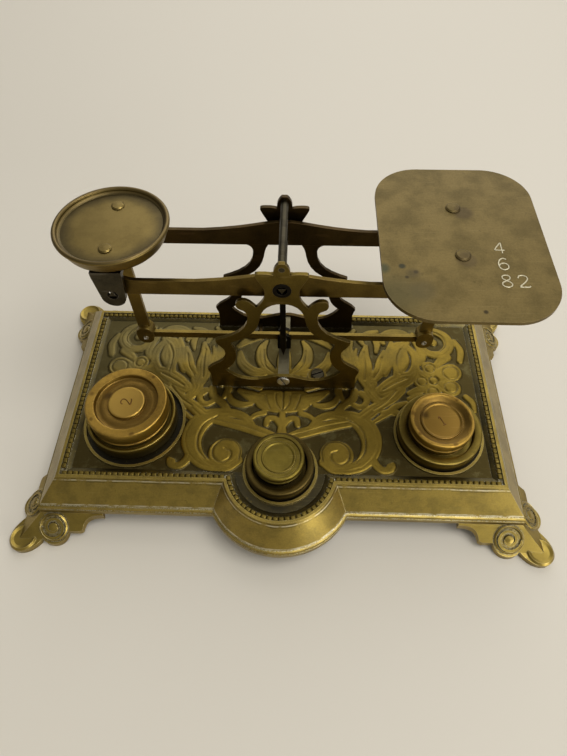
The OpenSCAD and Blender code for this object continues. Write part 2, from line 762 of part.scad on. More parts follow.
// Pans
// Yoke with its top face at a height above the pivots, about its own pivot line
ear_out_y = ear_in_y + yoke_t;
module yoke(top, rivet_y) {
    half_w = yoke_w / 2;
    difference() {
        union() {
            translate([-half_w, -ear_out_y, top - yoke_t])
                cube([yoke_w, 2 * ear_out_y, yoke_t]);
            front_and_back()
                translate([0, -ear_out_y, 0])
                    upright(yoke_t) {
                        polygon([[-half_w, top], [half_w, top], [half_w, top - 2],
                            [ear_r, -ear_drop], [-ear_r, -ear_drop], [-half_w, top - 2]]);
                        translate([0, -ear_drop]) circle(r = ear_r);
                    }
        }
        front_and_back()
            across(-ear_out_y - over, yoke_t + 2 * over, -hole_shift, knife_hole_r);
        for (side = [-1, 1])
            translate([0, side * rivet_y, top - yoke_t - over])
                cylinder(r = rivet_shank_r, h = yoke_t + 2 * over);
        translate([0, 0, top - yoke_t - over]) cylinder(r = stem_tenon_r, h = yoke_t + 2 * over);
    }
}

// Places its children about the pivot line at one end of the beam
module at_end(side) {
    on_tray() translate([side * arm_len, balance_y, pivot_z]) children();
}

pan_under = pan_top - pan_h;
plate_under = plate_top - plate_t;

module left_yoke() {
    color(steel_dark) at_end(-1) yoke(pan_under, pan_rivet_y);
}

module right_yoke() {
    color(steel_dark) at_end(1) yoke(plate_under, plate_rivet_y);
}

// Flat stem that hangs from a yoke and ends in a clevis for the link
stem_tenon_r = 1.5;
module stem(top) {
    drop = link_h - pivot_h;
    half_w = stem_w / 2;
    under = top - yoke_t;
    foot = drop + clevis_rise + 0.6 * cheek_r;
    difference() {
        union() {
            translate([-half_w, -stem_t / 2, foot]) cube([stem_w, stem_t, under - foot]);
            translate([0, 0, under - over]) cylinder(r = stem_tenon_r, h = yoke_t + over);
            translate([0, -clevis_len / 2, drop])
                upright(clevis_len) {
                    circle(r = cheek_r);
                    translate([0, clevis_rise]) circle(r = cheek_r);
                    translate([-cheek_r, 0]) square([2 * cheek_r, clevis_rise]);
                }
        }
        translate([-cheek_r - over, -slot_half, drop - cheek_r - over])
            cube([2 * (cheek_r + over), 2 * slot_half, cheek_r + end_eye_r + 0.6 + over]);
        across(-clevis_len / 2 - over, clevis_len + 2 * over, drop, link_pin_r);
    }
}

module left_stem() {
    color(brass_dark) at_end(-1) stem(pan_under);
}

module right_stem() {
    color(brass_dark) at_end(1) stem(plate_under);
}

// Pin with a dimple in each end
module stem_pin() {
    length = clevis_len + 0.6;
    dimple = 0.45 * link_pin_r;
    translate([0, -length / 2, link_h - pivot_h])
        rotate([-90, 0, 0])
            rotate_extrude()
                polygon([[0, 0.5], [dimple, 0.4], [dimple + 0.15, 0], [link_pin_r, 0],
                    [link_pin_r, length], [dimple + 0.15, length], [dimple, length - 0.4],
                    [0, length - 0.5]]);
}

module left_stem_pin() {
    color(steel_bright) at_end(-1) stem_pin();
}

module right_stem_pin() {
    color(steel_bright) at_end(1) stem_pin();
}

// Round pan: a thick shallow dish with a flared side and a rolled rim
roll_r = 0.9;
module weight_pan() {
    roll = [pan_r - roll_r, pan_top - roll_r];
    floor_top = pan_under + pan_t;
    side = concat([[0, pan_under]],
        curve_points([[[pan_r - 3.9, pan_under], [pan_r - 2.3, pan_under],
            [pan_r - 1.5, pan_under + 1.2], [pan_r - 0.9, roll[1]]]], 8),
        [[pan_r - 0.9, roll[1]], [pan_r - 1.6, roll[1]], [pan_r - 2, floor_top + 0.5],
        [pan_r - 2.7, floor_top], [0, floor_top]]);
    color(brass_worn) at_end(-1)
    difference() {
        rotate_extrude() {
            polygon(side);
            translate(roll) circle(r = roll_r, $fn = 32);
        }
        for (end = [-1, 1])
            translate([0, end * pan_rivet_y, pan_under - over])
                cylinder(r = rivet_shank_r, h = pan_t + 2 * over);
    }
}

// Rivet with its shank down from z = 0 and a low head on top
module rivet(head_r, length) {
    rotate_extrude()
        polygon([[0, -length - 0.6], [1.5 * rivet_shank_r, -length - 0.3],
            [1.5 * rivet_shank_r, -length], [rivet_shank_r, -length], [rivet_shank_r, 0],
            [head_r, 0], [head_r, 0.3], [0.8 * head_r, 0.7], [0, 0.8]]);
}

module weight_pan_rivets() {
    color(brass_worn) at_end(-1)
        for (end = [-1, 1])
            translate([0, end * pan_rivet_y, pan_under + pan_t]) rivet(pan_rivet_r, pan_t + yoke_t);
}

module rounded_plate(length, depth, corner, thickness) {
    x = length / 2;
    y = depth / 2;
    translate([-x, -y + corner, 0]) cube([length, depth - 2 * corner, thickness]);
    translate([-x + corner, -y, 0]) cube([length - 2 * corner, depth, thickness]);
    for (sx = [-1, 1]) for (sy = [-1, 1])
        translate([sx * (x - corner), sy * (y - corner), 0]) cylinder(r = corner, h = thickness);
}

module letter_plate() {
    color(brass_worn) at_end(1)
    difference() {
        translate([plate_right, -plate_fwd, plate_under])
            rounded_plate(plate_len, plate_dep, plate_corner, plate_t);
        for (end = [-1, 1])
            translate([0, end * plate_rivet_y, plate_under - over])
                cylinder(r = rivet_shank_r, h = plate_t + 2 * over);
    }
}

module letter_plate_rivets() {
    color(brass_worn) at_end(1)
        for (end = [-1, 1])
            translate([0, end * plate_rivet_y, plate_top])
                rivet(plate_rivet_r, plate_t + yoke_t);
}

// Link bar on edge with an eye at its middle and one at each end
end_eye_r = link_bar_h / 2 + 0.4;
mid_eye_r = link_bar_h / 2 + 1;
module parallel_link() {
    color(brass_worn) on_balance()
    difference() {
        union() {
            translate([-arm_len, -link_t / 2, link_h - link_bar_h / 2])
                cube([2 * arm_len, link_t, link_bar_h]);
            across(-link_t / 2, link_t, link_h, mid_eye_r);
            for (side = [-1, 1])
                translate([side * arm_len, 0, 0]) across(-link_t / 2, link_t, link_h, end_eye_r);
        }
        for (x = [-arm_len, 0, arm_len])
            translate([x, 0, 0])
                across(-link_t / 2 - over, link_t + 2 * over, link_h, link_pin_r + eye_clear);
    }
}

// Weights
// The loose weights lie a little off the middles of their wells and recesses, all one way
lie_dir = [-0.55, 0.83];
lie_share = 0.8;
function recess_r(low_r, up_r) = up_r + min(0.9, 0.22 * (low_r - up_r));
function low_place(at, well_r, low_r) = at + lie_share * (well_r - ring_w - low_r) * lie_dir;
function up_place(at, well_r, low_r, up_r) =
    low_place(at, well_r, low_r) + lie_share * (recess_r(low_r, up_r) - up_r) * lie_dir;

// A lower weight is a flat round block with a recess for the one above it
module lower_weight(place, low_r, up_r) {
    height = low_weight_h + well_depth - stand_gap;
    inner = recess_r(low_r, up_r);
    color(brass_dark) on_tray()
    translate([place[0], place[1], well_z + stand_gap])
        rotate_extrude()
            polygon([[0, 0], [low_r - 0.6, 0], [low_r, 0.6], [low_r, height - 0.5],
                [low_r - 0.4, height], [inner + 0.1, height], [inner, height - 0.2],
                [inner, height - recess_depth], [0, height - recess_depth]]);
}

// An upper weight has a waisted side, a flat rim, a sunk channel and a raised middle
module upper_weight(place, r, height, rim_share, middle_share) {
    rim_in = rim_share * r;
    middle = middle_share * r;
    channel = height - 1.1;
    color(brass_bright) on_tray()
    translate([place[0], place[1], floor_z + low_weight_h - recess_depth + stand_gap])
        rotate_extrude()
            polygon([[0, 0], [r - 0.8, 0], [r - 0.3, 0.5], [r - 0.3, 1.5], [r - 0.7, 1.8],
                [r - 0.7, 2.1], [r - 0.2, 2.6], [r, height - 0.4], [r - 0.4, height],
                [rim_in, height], [rim_in - 0.4, height - 0.5], [rim_in - 0.8, channel],
                [middle + 0.9, channel + 0.2], [middle + 0.3, channel - 0.2], [middle, height - 0.5],
                [middle - 0.3, height - 0.25], [0, height - 0.25]]);
}

module left_lower_weight() {
    lower_weight(low_place(left_well, left_well_r, left_low_r), left_low_r, left_up_r);
}

module left_upper_weight() {
    upper_weight(up_place(left_well, left_well_r, left_low_r, left_up_r), left_up_r, left_up_h,
        0.78, 0.45);
}

module right_lower_weight() {
    lower_weight(low_place(right_well, right_well_r, right_low_r), right_low_r, right_up_r);
}

module right_upper_weight() {
    upper_weight(up_place(right_well, right_well_r, right_low_r, right_up_r), right_up_r,
        right_up_h, 0.8, 0.56);
}

module centre_lower_weight() {
    lower_weight(low_place(centre_well, centre_well_r, centre_low_r), centre_low_r, centre_up_r);
}

module centre_upper_weight() {
    upper_weight(up_place(centre_well, centre_well_r, centre_low_r, centre_up_r), centre_up_r,
        centre_up_h, 0.82, 0.58);
}

tray();
bead_border();
foot_at(-1, -1);  // foot_front_left
foot_at(1, -1);  // foot_front_right
foot_at(-1, 1);  // foot_back_left
foot_at(1, 1);  // foot_back_right
front_frame();
back_frame();
pivot_bushes();
top_stay_rod();
lower_stay_bar();
stay_screws();
floor_screws();
link_fork();
fork_pin();
front_beam_arm();
back_beam_arm();
centre_knife_edge();
end_knife_edges(-arm_len);  // left_knife_edges
end_knife_edges(arm_len);  // right_knife_edges
pointer();
weight_pan();
weight_pan_rivets();
left_yoke();
left_stem();
left_stem_pin();
letter_plate();
letter_plate_rivets();
right_yoke();
right_stem();
right_stem_pin();
parallel_link();
left_lower_weight();
left_upper_weight();
right_lower_weight();
right_upper_weight();
centre_lower_weight();
centre_upper_weight();
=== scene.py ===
"""Looks of a brass letter balance on a cast tray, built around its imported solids."""

import logging
import math
from abc import ABC, abstractmethod
from dataclasses import dataclass, replace
from enum import Enum
from typing import Optional, Sequence, Union

import bpy
import numpy as np
from mathutils import Matrix, Vector


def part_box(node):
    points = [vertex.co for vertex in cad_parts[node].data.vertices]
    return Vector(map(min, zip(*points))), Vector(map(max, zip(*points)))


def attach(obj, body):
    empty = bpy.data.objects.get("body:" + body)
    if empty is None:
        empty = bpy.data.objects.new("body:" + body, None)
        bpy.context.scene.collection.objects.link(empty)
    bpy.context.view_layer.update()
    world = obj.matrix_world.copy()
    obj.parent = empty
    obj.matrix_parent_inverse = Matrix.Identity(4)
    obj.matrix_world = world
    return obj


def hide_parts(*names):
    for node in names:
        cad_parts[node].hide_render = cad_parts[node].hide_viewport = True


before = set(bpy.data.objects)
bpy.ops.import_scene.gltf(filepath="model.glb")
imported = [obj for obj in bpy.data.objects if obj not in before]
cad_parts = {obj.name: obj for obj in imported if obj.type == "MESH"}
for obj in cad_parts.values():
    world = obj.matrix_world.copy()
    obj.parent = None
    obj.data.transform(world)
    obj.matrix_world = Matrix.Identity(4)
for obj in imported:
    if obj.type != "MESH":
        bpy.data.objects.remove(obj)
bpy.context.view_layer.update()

LOG = logging.getLogger("letter_balance")
Colour = tuple[float, float, float]
Place = tuple[float, float, float]
Point = tuple[float, float]
Stroke = Sequence[tuple[float, ...]]

# A millimetre in metres and a metre in millimetres. Lengths are in millimetres, except the
# studio's, which are in metres.
MM, METRE = 0.001, 1000.0
# Middle of the tray, height of its sunk floor and half its opening inside the rim
TRAY_Y, FLOOR_Z, RIM_X, RIM_Y = 0.94, 24.0, 90.0, 43.4
# Middle of the front bulge, as seen from the tray's, and its radius inside the rim
BULGE_Y, BULGE_R = -38.0, 22.5
# Plane of the balance and length of its arms
BALANCE_Y, ARM_LEN = 21.84, 62.0
# Wells in the floor: x, y and radius
WELLS = ((-63.65, -16.11, 21.85), (66.6, -19.06, 18.9), (0.0, -37.06, 15.4))


class Slot(Enum):
    """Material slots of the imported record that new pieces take."""

    CAST = "cast_brass"
    WORN = "worn_brass"
    BRIGHT = "polished_brass"


def srgb(red: int, green: int, blue: int) -> Colour:
    """Linear colour of an 8-bit display colour.

    Args:
        red: Red, 0 to 255.
        green: Green, 0 to 255.
        blue: Blue, 0 to 255.

    Returns:
        The three linear shares.
    """
    shares = [c / 255 for c in (red, green, blue)]
    return tuple(c / 12.92 if c <= 0.04045 else ((c + 0.055) / 1.055) ** 2.4 for c in shares)


class Sock:
    """A node socket that takes part in Python arithmetic."""

    def __init__(self, graph: "Graph", link: bpy.types.NodeSocket) -> None:
        """Keeps the graph and the socket."""
        self.graph = graph
        self.link = link

    def _math(self, operation: str, *values: "Value") -> "Sock":
        """One Math node of the operation on its values."""
        return self.graph.node("ShaderNodeMath", {"operation": operation}, *values)

    def __add__(self, other: "Value") -> "Sock":
        """Sum."""
        return self._math("ADD", self, other)

    def __radd__(self, other: "Value") -> "Sock":
        """Sum with a number first."""
        return self._math("ADD", other, self)

    def __sub__(self, other: "Value") -> "Sock":
        """Difference."""
        return self._math("SUBTRACT", self, other)

    def __rsub__(self, other: "Value") -> "Sock":
        """Difference from a number."""
        return self._math("SUBTRACT", other, self)

    def __mul__(self, other: "Value") -> "Sock":
        """Product."""
        return self._math("MULTIPLY", self, other)

    def __rmul__(self, other: "Value") -> "Sock":
        """Product with a number first."""
        return self._math("MULTIPLY", other, self)

    def __abs__(self) -> "Sock":
        """Size without its sign."""
        return self._math("ABSOLUTE", self)

    def highest(self, other: "Value") -> "Sock":
        """The higher of two values."""
        return self._math("MAXIMUM", self, other)

    def lowest(self, other: "Value") -> "Sock":
        """The lower of two values."""
        return self._math("MINIMUM", self, other)

    def step(self, low: float, high: float) -> "Sock":
        """Smooth rise from 0 at low to 1 at high, which may be the smaller number."""
        settings = {"interpolation_type": "SMOOTHSTEP", "clamp": True}
        return self.graph.node("ShaderNodeMapRange", settings, self, low, high, 0.0, 1.0)


Value = Union[Sock, float, int, Colour]


class Graph:
    """The node tree of one material or world."""

    def __init__(self, tree: bpy.types.NodeTree) -> None:
        """Empties the tree and keeps it."""
        self.tree = tree
        tree.nodes.clear()

    def put(self, socket: bpy.types.NodeSocket, value: Value) -> None:
        """Links or sets one input socket.

        Args:
            socket: The input.
            value: A wrapped socket, a number, a vector or a colour.
        """
        if isinstance(value, Sock):
            self.tree.links.new(value.link, socket)
        else:
            socket.default_value = (*value, 1.0) if socket.type == "RGBA" else value

    def node(self, kind: str, settings: dict[str, object], *values: Value,
             out: Union[int, str] = 0, **named: Value) -> Sock:
        """Adds any node.

        Args:
            kind: Blender's type name of the node.
            settings: Its properties, set before its sockets.
            *values: Values of its first visible inputs, in order.
            out: Number or name of the output that is wanted.
            **named: Values of inputs by name, with an underscore for a space.

        Returns:
            The wrapped output.
        """
        made = self.tree.nodes.new(kind)
        for key, setting in settings.items():
            setattr(made, key, setting)
        shown = [s for s in made.inputs if s.enabled]
        for socket, value in zip(shown, values):
            self.put(socket, value)
        for key, value in named.items():
            self.put(next(s for s in shown if s.name == key.replace("_", " ")), value)
        outs = [s for s in made.outputs if s.enabled]
        return Sock(self, outs[out] if isinstance(out, int) else made.outputs[out])

    def close(self, kind: str, shader: Sock) -> None:
        """Links a shader to a new output node of the kind."""
        self.tree.links.new(shader.link, self.tree.nodes.new(kind).inputs[0])

    def noise(self, where: Value, scale: float, detail: float, roughness: float) -> Sock:
        """Noise between 0 and 1, from its cells per metre and its finer layers."""
        return self.node("ShaderNodeTexNoise", {}, Vector=where, Scale=scale, Detail=detail,
                         Roughness=roughness)

    def blend(self, share: Value, first: Value, second: Value) -> Sock:
        """Mixes a share of the second colour into the first."""
        return self.node("ShaderNodeMix", {"data_type": "RGBA"}, share, first, second)

    def vector(self, operation: str, *values: Value, out: Union[int, str] = 0) -> Sock:
        """One Vector Math node of the operation on its vectors."""
        return self.node("ShaderNodeVectorMath", {"operation": operation}, *values, out=out)


class Surface(Graph):
    """The graph of one metal, with what its layers are measured and broken up by."""

    # Cells per metre of the fine noise, and turn and cells per metre of each set of scratches
    FINE_CELLS = 1400.0
    SCRATCHES = ((0.5, (90.0, 2600.0, 400.0)), (-0.9, (70.0, 2100.0, 300.0)))

    def __init__(self, tree: bpy.types.NodeTree, cloud_size: float) -> None:
        """Lays the coordinates, the broad noise and the fine one.

        Args:
            tree: The material's node tree.
            cloud_size: Size of the broad noise's clouds.
        """
        super().__init__(tree)
        self.where = self.node("ShaderNodeTexCoord", {}, out="Object")
        self.flat = self.vector("MULTIPLY", self.where, (1.0, 1.0, 0.0))
        self.cloud = self.noise(self.where, METRE / cloud_size, 4.0, 0.6)
        self.fine = self.noise(self.where, self.FINE_CELLS, 4.0, 0.65)

    def along(self, axis: str) -> Sock:
        """One coordinate, by its letter."""
        return self.node("ShaderNodeSeparateXYZ", {}, self.where, out=axis) * METRE

    def from_axis(self, x: float, y: float) -> Sock:
        """Distance from an upright axis."""
        return self.vector("DISTANCE", self.flat, (x * MM, y * MM, 0.0), out="Value") * METRE

    def looks_up(self) -> Sock:
        """Share 1 on the faces that look up."""
        normal = self.node("ShaderNodeNewGeometry", {}, out="Normal")
        return self.node("ShaderNodeSeparateXYZ", {}, normal, out="Z").step(0.5, 0.8)

    def hidden(self, reach: float) -> Sock:
        """Share of the view that other faces take up within a reach."""
        return 1 - self.node("ShaderNodeAmbientOcclusion", {"samples": 6}, Distance=reach * MM,
                             out="AO")

    def soft_normal(self, reach: float, samples: int) -> Sock:
        """Normal with the sharp edges rounded over a reach."""
        return self.node("ShaderNodeBevel", {"samples": samples}, Radius=reach * MM)

    def scratches(self) -> Sock:
        """Fine lines in two directions.

        Returns:
            Share 1 on the lines.
        """
        found = []
        for turn, scale in self.SCRATCHES:
            laid = self.node("ShaderNodeMapping", {}, Vector=self.where,
                             Rotation=(0.0, 0.0, turn), Scale=scale)
            found.append(self.noise(laid, 1.0, 1.0, 0.5).step(0.68, 0.74))
        return found[0].highest(found[1])


@dataclass(frozen=True)
class Mark:
    """A round stain, or a ring where it is full farther out, on the faces that look up; on the
    pan's floor the dark ring is stain and painted shade of its wall.
    """

    place: Point
    full: float
    none: float
    tone: Colour
    share: float
    ragged: float


@dataclass(frozen=True)
class MetalFinish:
    """One finish of the brass or steel, from its bare tone to its dirt and painted shade."""

    name: str
    tone: Colour
    patina: Colour
    bare: Colour
    roughness: float = 0.38
    patina_share: float = 0.6
    cloud_size: float = 12.0
    speck: float = 0.25
    # Reach, span and share of the darkening in recesses, which is dirt and painted shade
    recess_reach: float = 1.6
    recess_span: tuple[float, float] = (0.25, 0.8)
    recess_dirt: float = 0.8
    edge_reach: float = 0.35
    edge_wear: float = 0.4
    grain: float = 0.12
    scratch: float = 0.15
    residue: float = 0.0
    coat: float = 0.0
    # Tone of the faces that don't look up: painted shade of the sides
    side: Optional[Colour] = None
    marks: tuple[Mark, ...] = ()

    # What every metal shares: the specks' cells per metre, shares of the broad and the fine
    # noise in the patina, the most of the sides' painted shade and of the recesses' dirt and
    # painted shade, and how dark that dirt and shade are
    SPECK_CELLS, CLOUD_SHARE, FINE_SHARE = 520.0, 0.75, 0.35
    SIDE_SHARE, MOST_DIRT, DIRT_TONE = 0.85, 0.95, 0.3
    # Spread and limits of the roughness, the coat's roughness, the depth of the grain, and
    # how much of an edge's worn width looks round
    ROUGH_SPREAD, SMOOTHEST, ROUGHEST, COAT_ROUGHNESS = 0.14, 0.08, 0.95, 0.38
    GRAIN_DEPTH, SOFT_EDGE = 0.2, 0.4
    # Dried polish: its tone, the reach of a corner that holds it and how far it stays clear
    # of the wells
    POLISH, POLISH_REACH, POLISH_CLEAR = srgb(196, 190, 164), 1.2, (0.8, 2.4)

    def build(self) -> bpy.types.Material:
        """Makes the material.

        Returns:
            The node material of this finish.
        """
        material = bpy.data.materials.new(self.name)
        material.use_nodes = True
        self.fill(Surface(material.node_tree, self.cloud_size))
        return material

    def fill(self, surface: Surface) -> None:
        """Lays the layers and links them to a shader.

        Args:
            surface: The material's graph.
        """
        cloud, fine, lines = surface.cloud, surface.fine, surface.scratches()
        wear, dirt = self.edges(surface)
        specks = surface.noise(surface.where, self.SPECK_CELLS, 5.0, 0.7).step(0.60, 0.72)
        cover = cloud.step(0.38, 0.66) * self.CLOUD_SHARE + fine.step(0.35, 0.7) * self.FINE_SHARE
        cover = (cover * self.patina_share).lowest(1.0)
        colour = surface.blend(cover, *self.tones(surface))
        colour = surface.blend(specks * self.speck, colour, self.patina)
        # Painted shade: the sides turn towards their darker tone
        if self.side:
            colour = surface.blend((1 - surface.looks_up()) * self.SIDE_SHARE, colour, self.side)
        colour = self.marked(surface, colour)
        # Recesses darkened towards a deep patina: dirt and painted shade
        deepest = tuple(self.DIRT_TONE * c for c in self.patina)
        colour = surface.blend((dirt * self.recess_dirt).lowest(self.MOST_DIRT), colour, deepest)
        rubbed = (wear * self.edge_wear + lines * self.scratch).lowest(1.0)
        colour = surface.blend(rubbed, colour, self.bare)
        if self.residue:
            colour = surface.blend(self.polish_left(surface), colour, self.POLISH)
        rough = (self.roughness + (cloud - 0.5) * self.ROUGH_SPREAD + (fine - 0.5) * 0.1
                 + dirt * 0.25 - wear * 0.08)
        height = fine * 0.5 + cloud * 0.6 - specks * 0.4 - lines * 0.35
        bump = surface.node("ShaderNodeBump", {}, Strength=self.grain,
                            Distance=self.GRAIN_DEPTH * MM, Height=height,
                            Normal=surface.soft_normal(self.SOFT_EDGE * self.edge_reach, 4))
        surface.close("ShaderNodeOutputMaterial", surface.node(
            "ShaderNodeBsdfPrincipled", {}, Base_Color=colour, Metallic=1.0, Normal=bump,
            Roughness=rough.highest(self.SMOOTHEST).lowest(self.ROUGHEST),
            Coat_Weight=self.coat, Coat_Roughness=self.COAT_ROUGHNESS))

    def tones(self, surface: Surface) -> tuple[Value, Value]:
        """Bare tone and patina, which some finishes vary over the surface."""
        return self.tone, self.patina

    def marked(self, surface: Surface, colour: Value) -> Value:
        """Lays the finish's stains, and on the pan painted shade, over a colour.

        Args:
            surface: The material's graph.
            colour: The colour below.

        Returns:
            The colour with its stains and painted shade.
        """
        up = surface.looks_up() if self.marks else None
        for mark in self.marks:
            away = surface.from_axis(*mark.place) + (surface.cloud - 0.5) * (4 * mark.ragged)
            share = away.step(mark.none, mark.full) * up * mark.share
            colour = surface.blend(share, colour, mark.tone)
        return colour

    def polish_left(self, surface: Surface) -> Sock:
        """Dried polish in the tight corners, clear of the wells.

        Args:
            surface: The material's graph.

        Returns:
            Its share.
        """
        left = surface.hidden(self.POLISH_REACH).step(0.14, 0.38)
        left = left * surface.fine.step(0.4, 0.58) * self.residue
        none, full = self.POLISH_CLEAR
        for x, y, radius in WELLS:
            left = left * surface.from_axis(x, y).step(radius + none, radius + full)
        return left

    def edges(self, surface: Surface) -> tuple[Sock, Sock]:
        """Masks of the worn edges and of the corners darkened as dirt and painted shade.

        Args:
            surface: The material's graph.

        Returns:
            Share of wear and share of dirt and painted shade.
        """
        plain = surface.node("ShaderNodeNewGeometry", {}, out="Normal")
        wide = surface.soft_normal(self.edge_reach, 6)
        turn = 1 - surface.vector("DOT_PRODUCT", plain, wide, out="Value")
        # Corners that other faces hide, darkened as dirt and painted shade
        dirt = surface.hidden(self.recess_reach).step(*self.recess_span)
        return turn.step(0.015, 0.12) * (1 - dirt), dirt


@dataclass(frozen=True, kw_only=True)
class ReliefFinish(MetalFinish):
    """Cast floor: a dark, dusty ground under raised leaves that are rubbed bright."""

    ground: Colour
    dust: Colour
    back: Colour
    rear_ground: Colour

    # Dust's cells per metre. The tones turn grey over this depth, slantwise, with a ragged edge.
    DUST_CELLS, REAR_DEPTH, REAR_SLANT, REAR_RAGGED = 170.0, 55.0, 0.25, 60.0

    def tones(self, surface: Surface) -> tuple[Value, Value]:
        """Tones that follow the height above the floor, greyer towards the back.

        Args:
            surface: The material's graph.

        Returns:
            Bare tone and patina.
        """
        high = (surface.along("Z") - FLOOR_Z).step(0.15, 0.5)
        rear = (surface.along("Y") - surface.along("X") * self.REAR_SLANT
                + (surface.cloud - 0.5) * self.REAR_RAGGED).step(0.0, self.REAR_DEPTH)
        patches = surface.noise(surface.where, self.DUST_CELLS, 4.0, 0.7).step(0.5, 0.66)
        ground = surface.blend(patches * 0.7, self.ground, self.dust)
        ground = surface.blend(rear * 0.6, ground, self.rear_ground)
        raised = surface.blend(rear * 0.85, self.tone, self.back)
        worn = surface.blend(rear * 0.6, self.patina, self.back)
        return surface.blend(high, ground, raised), surface.blend(high, ground, worn)


@dataclass(frozen=True, kw_only=True)
class TrayFinish(MetalFinish):
    """Cast sides, with painted shade where the tray is sunk and in its wells, and ragged lines
    along the mouldings: pale ones painted highlights, dark ones painted shade.

    Each line has its lowest and highest z, its tone and its share.
    """

    # Darker tone of the sunk part inside the rim: painted shade
    sunk: Colour
    lines: tuple[tuple[float, float, Colour, float], ...]
    # Near black painted into the wells: the shade in the gaps round the weights
    deep: Colour = (0.008, 0.007, 0.004)

    # The lines' cells per metre, half the width of the soft edge inside the rim, and the
    # heights between which the sunk part and the wells take their painted shade
    LINE_CELLS, BLUR, SUNK_Z, WELL_Z = 260.0, 0.2, (25.4, 25.1), (24.5, 23.7)

    def marked(self, surface: Surface, colour: Value) -> Value:
        """Lays the lines along the mouldings over a colour: painted highlights and painted shade.

        Args:
            surface: The material's graph.
            colour: The colour below.

        Returns:
            The colour with the lines.
        """
        high = surface.along("Z") + (surface.cloud - 0.5) * 0.5
        ragged = surface.noise(surface.where, self.LINE_CELLS, 4.0, 0.7).step(0.34, 0.6)
        ragged = ragged * (1 - self.within_rim(surface))
        # Pale lines are painted highlights on the mouldings, dark lines painted shade beside them
        for low, top, tone, share in self.lines:
            band = high.step(low - 0.12, low + 0.06) * high.step(top + 0.12, top - 0.06)
            colour = surface.blend(band * ragged * share, colour, tone)
        return colour

    def within_rim(self, surface: Surface) -> Sock:
        """Mask of the tray and its bulge inside the rim, seen from above.

        Args:
            surface: The material's graph.

        Returns:
            Share 1 inside.
        """
        x, y, bulge = [value.step(half + self.BLUR, half - self.BLUR) for value, half in (
            (abs(surface.along("X")), RIM_X), (abs(surface.along("Y") - TRAY_Y), RIM_Y),
            (surface.from_axis(0.0, BULGE_Y + TRAY_Y), BULGE_R))]
        return (x * y).highest(bulge)

    def tones(self, surface: Surface) -> tuple[Value, Value]:
        """Tones darkened with painted shade where the tray is sunk and in the wells, but not on
        the rings round the wells.

        Args:
            surface: The material's graph.

        Returns:
            Bare tone and patina.
        """
        inside, high = self.within_rim(surface), surface.along("Z")
        low, wells = high.step(*self.SUNK_Z) * inside, high.step(*self.WELL_Z) * inside
        # Painted shade: the sunk part darker, mixed with patina, and the wells nearly black
        dull = surface.blend(surface.cloud.step(0.35, 0.65) * 0.5, self.sunk, self.patina)
        dull = surface.blend(wells * 0.9, dull, self.deep)
        for x, y, radius in WELLS:
            away = surface.from_axis(x, y)
            ring = away.step(radius - 1.6, radius - 1.2) * away.step(radius + 0.5, radius + 0.1)
            low = low * (1 - ring * 0.8 * (1 - wells))
        return surface.blend(low, self.tone, dull), surface.blend(low, self.patina, dull)


PAN_PLACE = (-ARM_LEN, BALANCE_Y)
TRAY = TrayFinish(
    "tray_brass_olive", tone=srgb(151, 129, 57), patina=srgb(105, 89, 37), bare=srgb(216, 196, 132),
    roughness=0.4, patina_share=0.65, cloud_size=8, speck=0.8, recess_dirt=0.75, edge_wear=0.45,
    # sunk is the painted shade of the sunk part inside the rim
    grain=0.4, scratch=0.05, residue=1.0, coat=0.3, sunk=srgb(74, 66, 36),
    # Pale lines are painted highlights along the mouldings, dark lines painted shade
    lines=((25.3, 25.55, srgb(60, 52, 26), 0.8), (24.75, 25.1, srgb(206, 198, 168), 0.8),
           (24.25, 24.5, srgb(64, 55, 27), 0.7), (15.8, 16.15, srgb(214, 206, 176), 0.8),
           (15.25, 15.6, srgb(58, 50, 25), 0.8)))
CAST = MetalFinish(
    "cast_brass_olive", tone=srgb(156, 133, 58), patina=srgb(108, 91, 36), bare=srgb(216, 196, 132),
    cloud_size=9, speck=0.6, recess_dirt=0.9, recess_reach=2.0, recess_span=(0.1, 0.55),
    edge_wear=0.6, grain=0.3, scratch=0.05, residue=0.7, coat=0.3)
RELIEF = ReliefFinish(
    "cast_floor_relief", tone=srgb(132, 110, 44), patina=srgb(98, 81, 32), bare=srgb(176, 154, 84),
    roughness=0.42, cloud_size=9, recess_dirt=0.5, recess_reach=1.0, edge_wear=0.3, grain=0.2,
    scratch=0.04, residue=0.3, ground=srgb(68, 58, 30), dust=srgb(94, 86, 54),
    back=srgb(105, 96, 62), rear_ground=srgb(88, 80, 50))
BEADS = MetalFinish(
    "beaded_brass", tone=srgb(118, 101, 48), patina=srgb(76, 64, 28), bare=srgb(168, 150, 92),
    roughness=0.5, patina_share=0.55, recess_dirt=0.7, recess_reach=0.8, edge_wear=0.2)
FRET_FRONT = MetalFinish(
    "fret_brass_olive_brown", tone=srgb(108, 91, 40), patina=srgb(68, 54, 23),
    bare=srgb(170, 146, 96), edge_wear=0.5)
FRET_BACK = MetalFinish(
    "fret_brass_dark_brown", tone=srgb(74, 59, 32), patina=srgb(42, 34, 19), bare=srgb(122, 94, 64),
    roughness=0.4, patina_share=0.7)
BEAM = MetalFinish(
    "beam_brass_brown", tone=srgb(104, 86, 40), patina=srgb(68, 53, 24), bare=srgb(150, 126, 76),
    roughness=0.36)
LINK = MetalFinish(
    "link_brass_olive", tone=srgb(138, 117, 57), patina=srgb(97, 80, 38), bare=srgb(160, 138, 86),
    roughness=0.42)
PAN = MetalFinish(
    "pan_brass_satin", tone=srgb(124, 106, 60), patina=srgb(96, 81, 44), bare=srgb(184, 162, 100),
    roughness=0.4, patina_share=0.5, cloud_size=11, edge_wear=0.5, scratch=0.04, grain=0.06,
    # The first mark darkens the floor towards the pan's wall: stain and painted shade of the wall
    marks=(Mark(PAN_PLACE, 18.8, 12.5, srgb(56, 50, 36), 0.75, 1.0),
           Mark(PAN_PLACE, 19.2, 18.4, srgb(108, 92, 58), 1.0, 0.0)))
